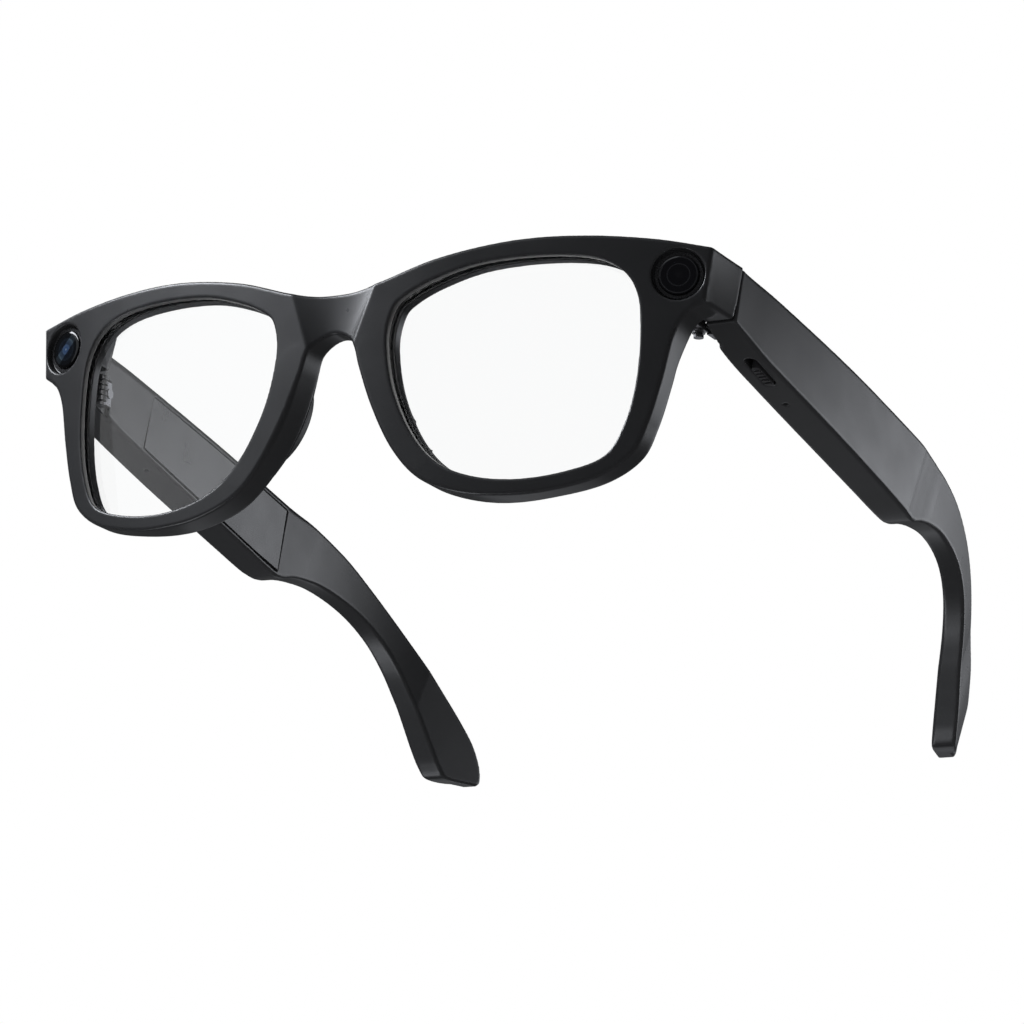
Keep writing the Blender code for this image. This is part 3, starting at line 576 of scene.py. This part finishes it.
def build_lens(name, side):
    """A clear lens with a bevelled rim, curved like the front."""
    keys = smooth_through(OPENING_KEYS, True, 8)
    outline = []
    for i, point in enumerate(keys):
        along = keys[(i + 1) % len(keys)] - keys[i - 1]
        along = along / np.linalg.norm(along)
        outline.append(point + (LENS_BITE - 0.1) * np.array((-along[1], along[0])))
    centre = np.mean(outline, 0)
    mesh = bmesh.new()
    shares = [1.0, 0.985, 0.93, 0.85, 0.75, 0.62, 0.48, 0.34, 0.2, 0.08]
    rings = []
    for depth, sense in ((LENS_FRONT, 1), (LENS_FRONT + LENS_THICK, -1)):
        loops = []
        for share in shares:
            inset = 0.5 * sense if share == 1.0 else 0.0
            loop = []
            for point in outline:
                px, pz = centre + (point - centre) * share
                loop.append(mesh.verts.new((px, depth + inset + front_y(px), pz)))
            loops.append(loop)
        rings.append(loops)
        for near, far in zip(loops, loops[1:]):
            for i in range(len(near)):
                j = (i + 1) % len(near)
                mesh.faces.new((near[i], near[j], far[j], far[i]))
        mesh.faces.new(loops[-1])
    front, rear = rings
    for i in range(len(outline)):
        j = (i + 1) % len(outline)
        mesh.faces.new((front[0][i], rear[0][i], rear[0][j], front[0][j]))
    bmesh.ops.recalc_face_normals(mesh, faces=mesh.faces)
    points = [tuple(v.co) for v in mesh.verts]
    mesh.verts.index_update()
    faces = [[v.index for v in face.verts] for face in mesh.faces]
    mesh.free()
    lens = put(f"lens_clear_{name}", points, faces, None, side)
    lens.data.set_sharp_from_angle(angle=math.radians(30))
    cover(lens, "front", [f"lens_{name}"], clear_glass())


# ---------------------------------------------------------------- ports


def lathe(profile, sides=96, close=True):
    """A round piece about the port's axis from (radius, depth) pairs, at the +X port."""
    at, axis = port_frame()
    across = Vector((axis.y, -axis.x, 0))
    up = Vector((0, 0, 1))
    points, faces = [], []
    for radius, depth in profile:
        for k in range(sides):
            angle = math.tau * k / sides
            spot = at + axis * depth + radius * (math.cos(angle) * across + math.sin(angle) * up)
            points.append(tuple(spot))
    rows = len(profile)
    for row in range(rows - 1):
        for k in range(sides):
            j = (k + 1) % sides
            a, b = row * sides, (row + 1) * sides
            faces.append([a + k, a + j, b + j, b + k])
    if close:
        faces.append(list(range(sides))[::-1])
        faces.append([(rows - 1) * sides + k for k in range(sides)])
    return points, faces


def rounded_disc(radius, near, far, dome, bevel):
    """Profile of a disc with a bevelled front edge and a slightly domed face, from the middle outwards."""
    rows = []
    for k in range(1, 9):
        share = k / 8
        rows.append((max(0.02, (radius - bevel) * share), near + dome * share * share))
    rows.append((radius - bevel * 0.3, near + dome + bevel * 0.3))
    rows.append((radius, near + dome + bevel))
    rows.append((radius, far))
    return rows


def build_ports():
    """A glass disc in each port, and the dark trough ring that it stands in."""
    window = rounded_disc(GLASS_RADIUS, GLASS_DEPTH, PORT_STEP + 0.4, GLASS_DOME, GLASS_BEVEL)
    for name, side in (("light_window", 1), ("camera_window", -1)):
        points, faces = lathe(window)
        piece = put(f"{name}_glass", points, faces, None, side)
        piece.data.set_sharp_from_angle(angle=math.radians(35))
        if side < 0:
            # The camera glass gets painted rings, a painted lit band and painted shade beside it.
            material = port_glass("camera_glass", side, CAMERA_PAINTED_RINGS, PAINTED_BAND_SHADE, painted_lit_band)
        else:
            material = light_glass()
        cover(piece, "front", [name], material)
    inner, outer = GLASS_RADIUS + 0.03, PORT_STEP_RADIUS + 0.3
    crown = PORT_STEP - 0.3
    ring = [
        (inner, PORT_STEP + 0.3), (inner, crown), (inner + 0.12, crown - 0.1), (outer - 0.1, crown - 0.1),
        (outer, crown), (outer, PORT_STEP - 0.02), (inner, PORT_STEP + 0.3),
    ]
    for name, side in (("light", 1), ("camera", -1)):
        points, faces = lathe(ring, close=False)
        piece = put(f"{name}_port_ring", points, faces, None, side)
        piece.data.set_sharp_from_angle(angle=math.radians(35))
        cover(piece, "front", [], ring_finish())


# ---------------------------------------------------------------- the arms


def splay(y, z):
    """X of the arm's inner face: a straight splay, the bend round the ear, then the straight tip."""
    along = math.cos(BEND_ANGLE) * y - math.sin(BEND_ANGLE) * z
    bend = np.clip(along - BEND_FROM, 0, BEND_TO - BEND_FROM)
    straight = SPLAY_START + SPLAY_SLOPE * np.minimum(along, BEND_FROM)
    return straight - BEND_RATE * bend**2 - TIP_SLOPE * np.maximum(along - BEND_TO, 0)


def arm_edges(steps=CURVE_STEPS):
    """The arm's lower and upper edge as curves."""
    low = smooth_through([s[0] for s in ARM], False, steps)
    up = smooth_through([s[1] for s in ARM], False, steps)
    return low, up


def thickness(y, z):
    """Arm thickness read from the stations, by the distance along the arm."""
    cos, sin = math.cos(BEND_ANGLE), math.sin(BEND_ANGLE)
    along = [cos * (a[0] + b[0]) / 2 - sin * (a[1] + b[1]) / 2 for a, b, _ in ARM]
    thick = [s[2] for s in ARM]
    here = cos * y - sin * z
    ends = smooth_through(list(zip(along, thick)), False, 8)
    return np.interp(here, [e[0] for e in ends], [e[1] for e in ends])


def station(y):
    """Lower and upper point of the arm at a lower-edge Y, and the thickness."""
    for (low0, up0, t0), (low1, up1, t1) in zip(ARM, ARM[1:]):
        if y <= low1[0]:
            break
    share = (y - low0[0]) / (low1[0] - low0[0])
    return Vector(low0).lerp(low1, share), Vector(up0).lerp(up1, share), t0 + share * (t1 - t0)


def on_arm(y, w, depth):
    """A design point on the arm: w up from the lower edge, depth in from the inner face."""
    low, up, _ = station(y)
    along = (up - low).normalized()
    py, pz = low + along * w
    middle_y, middle_z = 0.5 * (low + up)
    return Vector((float(splay(middle_y, middle_z)) + depth, py, pz))


def edge_frame(y, depth, upper=False):
    """Axes on an arm's edge: forward along it, across towards the outside, and up the section."""
    low, up, _ = station(y)
    ahead = station(y - 3)
    near = on_arm(y, (up - low).length if upper else 0, depth)
    far = on_arm(y - 3, (ahead[1] - ahead[0]).length if upper else 0, depth)
    forward = (far - near).normalized()
    rise = Vector((1, 0, 0)).cross(forward).normalized()
    if rise.z < 0:
        rise = -rise
    across = rise.cross(forward).normalized()
    if across.x < 0:
        across = -across
    return near, forward, across, rise


def pill_field(x, y, z, place, shift, length, width, low, high, radius):
    """A round-ended slot or cap in an edge frame."""
    near, forward, across, rise = place
    along = (x - near.x) * forward.x + (y - near.y) * forward.y + (z - near.z) * forward.z - shift
    side = (x - near.x) * across.x + (y - near.y) * across.y + (z - near.z) * across.z
    height = (x - near.x) * rise.x + (y - near.y) * rise.y + (z - near.z) * rise.z
    round_end = np.sqrt(np.maximum(np.abs(along) - (length - width) / 2, 0) ** 2 + side**2) - width / 2
    return both(round_end, np.abs(height - (low + high) / 2) - (high - low) / 2, radius)


def arm_base(axes):
    """The arm's solid shape, before anything is cut into it."""
    x, y, z = open_grid(axes)
    low, up = arm_edges()
    outline = outline_distance(low + up[::-1], axes[1], axes[2])[None, :, :]
    inner = splay(y, z)
    thick = thickness(y, z)
    inner_face = inner - x
    outer_face = x - inner - thick
    blend = ease(y, 22.5, 27.0)
    soft = 0.15 + (EDGE - 0.15) * blend
    outer = both(outer_face, outline, soft)
    # Along the electronics, the edge between the inner face and the top is fuller than the others.
    middle = np.interp(axes[1], [p[0] for p in low], [p[1] for p in low])[None, :, None]
    high = ease(z - middle, 5.0, 9.0) * (1 - ease(y, 100.0, 116.0))
    full = soft + (INNER_TOP_EDGE - soft) * high * blend
    return both(outer, inner_face, full)


def lid_region(y, z, grow):
    """Outline of the inner cover in Y and Z, by its distance along and across the arm."""
    low, up = arm_edges(6)
    lower = np.interp(y[0, :, 0], [p[0] for p in low], [p[1] for p in low])[None, :, None]
    upper = np.interp(y[0, :, 0], [p[0] for p in up], [p[1] for p in up])[None, :, None]
    lean = LID_LEAN * (z - lower) / np.maximum(upper - lower, 1)
    across = np.maximum(lower + LID_LOW - z, z - (upper - LID_HIGH)) * 0.98
    along = np.maximum(LID_FROM - (y - lean), (y - lean) - LID_TO)
    return np.maximum(across, along) - grow


def build_arms():
    """Both arms from one field: they differ only in the slide's slot and the button's well."""
    cell = CELL * 1.08
    axes = grid_axes(ARM_LOW, ARM_HIGH, cell)
    x, y, z = open_grid(axes)
    base = arm_base(axes)
    rear = y * math.cos(TILT) - z * math.sin(TILT) + BACK_SHIFT - REAR_LIMIT
    base = both(both(base, rear, 0.5), outside_height(y, z), 0.3)
    pocket = np.maximum(lid_region(y, z, LID_SEAM), (x - splay(y, z)) - LID_THICK - LID_GAP)
    base = np.maximum(base, -pocket)
    base = np.maximum(base, -block(x, y, z, *ARM_LEAF_SEAT, HOLLOW_EDGE))
    base = np.maximum(base, -block(x, y, z, *CABLE_WAY, HOLLOW_EDGE / 2))
    sound = pill_field(x, y, z, edge_frame(SOUND_Y, SOUND_DEPTH, True), 0, 6.6, 1.5, -1.2, 2.0, 0.1)
    base = both(base, -sound, 0.15)
    mic = edge_frame(MIC_Y, MIC_DEPTH)
    base = both(base, -pill_field(x, y, z, mic, 0, 0.96, 0.95, -2, 2.4, 0.05), 0.12)
    for name, side in (("left", 1), ("right", -1)):
        if side > 0:
            place = edge_frame(SLIDE_Y, SWITCH_DEPTH)
            slot = pill_field(x, y, z, place, 1.2, 10.2, 2.3, -2, 3.0, 0.1)
        else:
            place = edge_frame(BUTTON_Y, SWITCH_DEPTH, True)
            slot = pill_field(x, y, z, place, 0, 9.0, 2.8, -3.0, 2.0, 0.1)
        arm = both(base, -slot, 0.22)
        points, quads, normals = largest(*field_mesh(arm.astype(np.float32), ARM_LOW, cell))
        piece = put(f"arm_skin_{name}", points, quads, normals, side)
        cover(piece, f"arm_{name}", [f"arm_shell_{name}"], satin("arm", 0.02))


# ---------------------------------------------------------------- materials


def tree(name):
    """A new node material: itself, its nodes, its links and its shader."""
    material = bpy.data.materials.new(name)
    material.use_nodes = True
    nodes_, links = material.node_tree.nodes, material.node_tree.links
    return material, nodes_, links, nodes_["Principled BSDF"]


def millimetres(nodes_, links):
    """Object coordinates in millimetres."""
    coords = nodes_.new("ShaderNodeTexCoord")
    mapping = nodes_.new("ShaderNodeMapping")
    mapping.inputs["Scale"].default_value = (1 / MM, 1 / MM, 1 / MM)
    links.new(coords.outputs["Object"], mapping.inputs["Vector"])
    return mapping.outputs["Vector"]


def noise(nodes_, links, vector, scale, detail=2.0):
    texture = nodes_.new("ShaderNodeTexNoise")
    texture.inputs["Scale"].default_value = scale
    texture.inputs["Detail"].default_value = detail
    links.new(vector, texture.inputs["Vector"])
    return texture.outputs["Fac"]


def ramp(nodes_, links, source, low, high, to_low, to_high):
    """Maps a value from one range to another."""
    node = nodes_.new("ShaderNodeMapRange")
    node.inputs["From Min"].default_value = low
    node.inputs["From Max"].default_value = high
    node.inputs["To Min"].default_value = to_low
    node.inputs["To Max"].default_value = to_high
    links.new(source, node.inputs["Value"])
    return node.outputs["Result"]


def bumped(nodes_, links, shader, height, strength, distance):
    """Roughens the surface by a height."""
    bump = nodes_.new("ShaderNodeBump")
    bump.inputs["Strength"].default_value = strength
    bump.inputs["Distance"].default_value = distance
    links.new(height, bump.inputs["Height"])
    links.new(bump.outputs["Normal"], shader.inputs["Normal"])


def toned(nodes_, links, shader, factor, dark, light):
    """Colours the surface between a dark and a light tone."""
    mix = nodes_.new("ShaderNodeMix")
    mix.data_type = "RGBA"
    mix.inputs[6].default_value = (*dark, 1)
    mix.inputs[7].default_value = (*light, 1)
    links.new(factor, mix.inputs[0])
    links.new(mix.outputs[2], shader.inputs["Base Color"])


made = {}


def satin(name, lift):
    """Satin black moulding: fine grain, slow changes of gloss, and edges polished by wear."""
    key = f"satin_{name}"
    if key in made:
        return made[key]
    material, nodes_, links, shader = tree(key)
    vector = millimetres(nodes_, links)
    slow = noise(nodes_, links, vector, 0.12, 3.0)
    grain = noise(nodes_, links, vector, 5.0, 3.0)
    geometry = nodes_.new("ShaderNodeNewGeometry")
    edge = ramp(nodes_, links, geometry.outputs["Pointiness"], 0.51, 0.56, 0.0, 1.0)
    rough = ramp(nodes_, links, slow, 0.3, 0.7, 0.29, 0.34)
    worn = nodes_.new("ShaderNodeMath")
    worn.operation = "MULTIPLY_ADD"
    worn.inputs[1].default_value = -0.06
    links.new(edge, worn.inputs[0])
    links.new(rough, worn.inputs[2])
    links.new(worn.outputs[0], shader.inputs["Roughness"])
    base = 0.016 + lift * 0.1
    matt, polished = (base, base * 1.02, base * 1.08), (base * 1.5, base * 1.52, base * 1.6)
    toned(nodes_, links, shader, edge, matt, polished)
    bumped(nodes_, links, shader, grain, 0.04, 0.00003)
    shader.inputs["IOR"].default_value = 1.5
    made[key] = material
    return material


def clear_glass():
    """The lenses: clear, with faint smears."""
    if "clear" in made:
        return made["clear"]
    material, nodes_, links, shader = tree("lens_clear")
    vector = millimetres(nodes_, links)
    smear = noise(nodes_, links, vector, 0.08, 2.0)
    links.new(ramp(nodes_, links, smear, 0.3, 0.7, 0.0, 0.01), shader.inputs["Roughness"])
    shader.inputs["Base Color"].default_value = (0.985, 0.99, 0.99, 1)
    shader.inputs["Transmission Weight"].default_value = 1.0
    shader.inputs["IOR"].default_value = 1.45
    made["clear"] = material
    return material


def from_port_axis(nodes_, links, side):
    """Distance in millimetres from a port's axis."""
    at, axis = port_frame()
    middle = STANCE @ Vector((side * at.x, at.y, at.z))
    along = STANCE.to_3x3().normalized() @ Vector((side * axis.x, axis.y, axis.z))
    coords = nodes_.new("ShaderNodeTexCoord")
    steps = [("SUBTRACT", middle), ("CROSS_PRODUCT", along), ("LENGTH", None)]
    vector = coords.outputs["Object"]
    for operation, value in steps:
        step = nodes_.new("ShaderNodeVectorMath")
        step.operation = operation
        links.new(vector, step.inputs[0])
        if value is not None:
            step.inputs[1].default_value = value
        vector = step.outputs["Value"] if operation == "LENGTH" else step.outputs["Vector"]
    scaled = nodes_.new("ShaderNodeMath")
    scaled.operation = "MULTIPLY"
    scaled.inputs[1].default_value = 1 / MM
    links.new(vector, scaled.inputs[0])
    return scaled.outputs[0]


def painted_lit_band(nodes_, links, vector):
    """A painted lit band, a painted reflection running slantwise across the camera glass: 0 in the band, 1
    beside it, where painted shade darkens the glass.
    """
    at = port_frame()[0]
    middle = STANCE @ Vector((-at.x, at.y, at.z)) / MM
    rise, run = math.cos(BAND_SLOPE), math.sin(BAND_SLOPE)
    line = nodes_.new("ShaderNodeVectorMath")
    line.operation = "DOT_PRODUCT"
    line.inputs[1].default_value = (-run, 0.0, rise)
    links.new(vector, line.inputs[0])
    offset = nodes_.new("ShaderNodeMath")
    offset.operation = "SUBTRACT"
    offset.inputs[1].default_value = 0.1 - middle.x * run + middle.z * rise
    links.new(line.outputs["Value"], offset.inputs[0])
    size = nodes_.new("ShaderNodeMath")
    size.operation = "ABSOLUTE"
    links.new(offset.outputs[0], size.inputs[0])
    return ramp(nodes_, links, size.outputs[0], BAND_HALF, BAND_HALF + BAND_SOFT, 0.0, 1.0)


def port_glass(name, side, rings, shade, painted_light_pattern=None):
    """Dark glass over a port, coloured with painted rings of what shows behind it, darkened by a smear on
    the light glass and by painted shade beside a painted lit band on the camera glass.
    """
    if name in made:
        return made[name]
    material, nodes_, links, shader = tree(name)
    radius = ramp(nodes_, links, from_port_axis(nodes_, links, side), 0.0, RING_REACH, 0.0, 1.0)
    # The base colour paints rings of what shows behind the glass: painted highlights, painted reflections
    # and painted shade.
    colours = nodes_.new("ShaderNodeValToRGB")
    colours.color_ramp.interpolation = "EASE"
    stops = colours.color_ramp.elements
    while len(stops) < len(rings):
        stops.new(0.5)
    for stop, (at, colour) in zip(stops, rings):
        stop.position = at / RING_REACH
        stop.color = (*colour, 1)
    links.new(radius, colours.inputs[0])
    vector = millimetres(nodes_, links)
    smear = noise(nodes_, links, vector, 0.5, 1.0)
    mix = nodes_.new("ShaderNodeMix")
    mix.data_type = "RGBA"
    mix.blend_type = "MULTIPLY"
    mix.inputs[7].default_value = (*shade, 1)
    # On the camera glass the factor is the painted lit band: the ring colours stay lit in the band and are
    # darkened into painted shade beside it. On the light glass the factor is a smear.
    links.new(painted_light_pattern(nodes_, links, vector) if painted_light_pattern else smear, mix.inputs[0])
    links.new(colours.outputs[0], mix.inputs[6])
    links.new(mix.outputs[2], shader.inputs["Base Color"])
    links.new(ramp(nodes_, links, smear, 0.3, 0.7, 0.05, 0.1), shader.inputs["Roughness"])
    made[name] = material
    return material


def light_glass():
    """The light window's glass with its painted rings, which the CAD windows' slot has too."""
    return port_glass("light_glass", 1, LIGHT_PAINTED_RINGS, SMEAR_SHADE)


def ring_finish():
    """The turned dark ring round each port's glass."""
    if "ring" in made:
        return made["ring"]
    material, nodes_, links, shader = tree("port_ring")
    vector = millimetres(nodes_, links)
    turned = noise(nodes_, links, vector, 3.0, 2.0)
    links.new(ramp(nodes_, links, turned, 0.3, 0.7, 0.22, 0.32), shader.inputs["Roughness"])
    toned(nodes_, links, shader, turned, (0.012, 0.012, 0.013), (0.02, 0.02, 0.022))
    bumped(nodes_, links, shader, turned, 0.05, 0.00003)
    made["ring"] = material
    return material


def plain(name, dark, light, rough, metallic, scale, depth):
    """A finish with grain, for the small and inner pieces."""
    if name in made:
        return made[name]
    material, nodes_, links, shader = tree(name)
    vector = millimetres(nodes_, links)
    grain = noise(nodes_, links, vector, scale, 3.0)
    toned(nodes_, links, shader, ramp(nodes_, links, grain, 0.3, 0.7, 0.0, 1.0), dark, light)
    links.new(ramp(nodes_, links, grain, 0.3, 0.7, rough - 0.05, rough + 0.05), shader.inputs["Roughness"])
    shader.inputs["Metallic"].default_value = metallic
    bumped(nodes_, links, shader, grain, 0.1, depth)
    made[name] = material
    return material


def steel():
    return plain("bright_steel", (0.20, 0.20, 0.21), (0.34, 0.34, 0.35), 0.3, 1.0, 6.0, 0.00003)


def fine_matt():
    return plain("fine_matt", (0.02, 0.02, 0.021), (0.028, 0.028, 0.03), 0.38, 0.0, 5.0, 0.00002)


def circuit():
    return plain("circuit", (0.008, 0.05, 0.02), (0.02, 0.12, 0.05), 0.45, 0.0, 1.5, 0.00006)


def cell_foil():
    return plain("cell_foil", (0.42, 0.42, 0.44), (0.66, 0.66, 0.68), 0.35, 0.8, 0.8, 0.0001)


def film():
    return plain("film", (0.30, 0.13, 0.02), (0.45, 0.22, 0.05), 0.4, 0.0, 2.0, 0.00003)


def guide():
    return plain("light_guide", (0.75, 0.78, 0.78), (0.85, 0.87, 0.87), 0.3, 0.0, 2.0, 0.00003)


FINISHES = {
    "front_satin": lambda: satin("front", 0.0), "arm_satin": lambda: satin("arm", 0.02),
    "clear_lens": guide, "dark_window": light_glass, "board": circuit,
    "cell_foil": cell_foil, "film": film, "bright_steel": steel, "dark_plastic": fine_matt,
}


def finish_nodes():
    """Every CAD node that stays gets the procedural finish of its slot."""
    slots = {row["node"]: row["material_slot"] for row in frame["record"]["subparts"]}
    for name, obj in nodes.items():
        material = FINISHES[slots[name]]()
        if not obj.material_slots:
            obj.data.materials.append(material)
        for spot in obj.material_slots:
            spot.material = material


# ---------------------------------------------------------------- camera, floor and light


def set_camera():
    """The camera at the photograph's angle."""
    level = math.cos(ELEVATION)
    back = Vector((math.sin(AZIMUTH) * level, -math.cos(AZIMUTH) * level, math.sin(ELEVATION)))
    forward = -back
    right = forward.cross(Vector((0, 0, 1))).normalized()
    up = right.cross(forward)
    c, s = math.cos(ROLL), math.sin(ROLL)
    right_rolled = c * right + s * up
    up_rolled = -s * right + c * up
    turn = STANCE.to_3x3().normalized()
    rotation = Matrix((turn @ right_rolled, turn @ up_rolled, turn @ back)).transposed()
    data = bpy.data.cameras.new("camera")
    data.lens = FOCAL
    data.sensor_width = SENSOR
    data.clip_start = 0.01
    data.clip_end = 20
    camera = bpy.data.objects.new("camera", data)
    camera.matrix_world = Matrix.Translation(STANCE @ (LOOK_AT + back * DISTANCE)) @ rotation.to_4x4()
    bpy.context.scene.collection.objects.link(camera)
    bpy.context.scene.camera = camera


def set_floor():
    """A pale floor that fades out with distance and shows from above only.

    Views from below and the lights below pass through it.
    """
    mesh = bpy.data.meshes.new("floor")
    corners = [(x * FLOOR_SIZE, y * FLOOR_SIZE, 0) for x, y in ((-1, -1), (1, -1), (1, 1), (-1, 1))]
    mesh.from_pydata(corners, [], [(0, 1, 2, 3)])
    floor = bpy.data.objects.new("floor", mesh)
    bpy.context.scene.collection.objects.link(floor)
    material, nodes_, links, shader = tree("floor")
    shader.inputs["Base Color"].default_value = (0.86, 0.86, 0.86, 1)
    shader.inputs["Roughness"].default_value = 0.6
    glow = nodes_.new("ShaderNodeEmission")
    glow.inputs["Color"].default_value = (1, 1, 1, 1)
    glow.inputs["Strength"].default_value = FLOOR_GLOW
    lit = nodes_.new("ShaderNodeMixShader")
    lit.inputs[0].default_value = FLOOR_GLOW_SHARE
    links.new(shader.outputs[0], lit.inputs[1])
    links.new(glow.outputs[0], lit.inputs[2])
    geometry = nodes_.new("ShaderNodeNewGeometry")
    path = nodes_.new("ShaderNodeLightPath")
    mirrored_ray = nodes_.new("ShaderNodeMath")
    mirrored_ray.operation = "SUBTRACT"
    links.new(path.outputs["Is Glossy Ray"], mirrored_ray.inputs[0])
    links.new(path.outputs["Is Transmission Ray"], mirrored_ray.inputs[1])
    away = nodes_.new("ShaderNodeVectorMath")
    away.operation = "LENGTH"
    links.new(millimetres(nodes_, links), away.inputs[0])
    fade = ramp(nodes_, links, away.outputs["Value"], *FLOOR_FADE, 0.0, 1.0)
    passes = geometry.outputs["Backfacing"]
    for other in (path.outputs["Is Shadow Ray"], mirrored_ray.outputs[0], fade):
        larger = nodes_.new("ShaderNodeMath")
        larger.operation = "MAXIMUM"
        links.new(passes, larger.inputs[0])
        links.new(other, larger.inputs[1])
        passes = larger.outputs[0]
    clear = nodes_.new("ShaderNodeBsdfTransparent")
    mix = nodes_.new("ShaderNodeMixShader")
    links.new(passes, mix.inputs[0])
    links.new(lit.outputs[0], mix.inputs[1])
    links.new(clear.outputs[0], mix.inputs[2])
    links.new(mix.outputs[0], nodes_["Material Output"].inputs["Surface"])
    mesh.materials.append(material)


def set_world():
    """White behind the object, also through its lenses, and a soft grey to everything else."""
    world = bpy.data.worlds.new("studio")
    bpy.context.scene.world = world
    world.use_nodes = True
    nodes_, links = world.node_tree.nodes, world.node_tree.links
    nodes_.clear()
    out = nodes_.new("ShaderNodeOutputWorld")
    path = nodes_.new("ShaderNodeLightPath")
    seen = nodes_.new("ShaderNodeBackground")
    seen.inputs["Color"].default_value = (1, 1, 1, 1)
    seen.inputs["Strength"].default_value = 1.0
    light = nodes_.new("ShaderNodeBackground")
    light.inputs["Color"].default_value = (*COOL, 1)
    light.inputs["Strength"].default_value = WORLD_LIGHT
    mix = nodes_.new("ShaderNodeMixShader")
    white = nodes_.new("ShaderNodeMath")
    white.operation = "MAXIMUM"
    links.new(path.outputs["Is Camera Ray"], white.inputs[0])
    links.new(path.outputs["Is Transmission Ray"], white.inputs[1])
    links.new(white.outputs[0], mix.inputs[0])
    links.new(light.outputs[0], mix.inputs[1])
    links.new(seen.outputs[0], mix.inputs[2])
    links.new(mix.outputs[0], out.inputs["Surface"])


def area(name, at, to, size, power, roll):
    """A rectangular lamp, not seen itself or through the lenses."""
    data = bpy.data.lights.new(name, "AREA")
    data.shape = "RECTANGLE"
    data.size, data.size_y = size
    data.energy = power
    data.color = COOL
    lamp = bpy.data.objects.new(name, data)
    lamp.location = at
    lamp.rotation_mode = "QUATERNION"
    aimed = (Vector(to) - Vector(at)).to_track_quat("-Z", "Y")
    lamp.rotation_quaternion = aimed @ Quaternion((0, 0, 1), roll)
    lamp.visible_camera = False
    lamp.visible_transmission = False
    bpy.context.scene.collection.objects.link(lamp)


def softbox(name, azimuth, height, distance, size, power, aim=(0, 0, 0.02), roll=0.0):
    """A rectangular light in a compass direction from the object: azimuth 0 is -Y, and 90 is +X."""
    a, h = math.radians(azimuth), math.radians(height)
    away = Vector((math.sin(a) * math.cos(h), -math.cos(a) * math.cos(h), math.sin(h)))
    area(name, Vector(aim) + away * distance, aim, size, power, roll)


def set_lights():
    """Each lamp: name, direction and height in degrees, distance, size, power and where it is aimed."""
    softbox("arm_side", 151, 16, 0.8, (0.4, 0.3), 0.78, (0.07, 0.012, 0.01))
    softbox("front_left", -48, 34, 0.3, (0.2, 0.13), 1.15, (-0.04, -0.08, 0.06))
    softbox("haze", -41, 17, 0.6, (0.4, 0.3), 0.2, (-0.05, -0.08, 0.04), math.radians(25))
    softbox("front", -12, 36, 0.9, (0.5, 0.25), 0.35)
    softbox("back", 168, 8, 1.2, (0.25, 0.4), 0.25)
    softbox("below", -62, -56, 0.6, (0.5, 0.15), 0.7)
    softbox("under", 200, -16, 1.2, (0.5, 0.3), 0.2)
    softbox("top", 10, 70, 1.1, (0.9, 0.9), 0.7)
    softbox("far_side", -108, 28, 0.9, (0.6, 0.4), 1.0)


scene = bpy.context.scene
scene.view_settings.view_transform = "Standard"
set_camera()
set_floor()
set_world()
set_lights()
finish_nodes()
build_front()
for lens_name, lens_side in (("left", 1), ("right", -1)):
    build_lens(lens_name, lens_side)
build_ports()
build_arms()
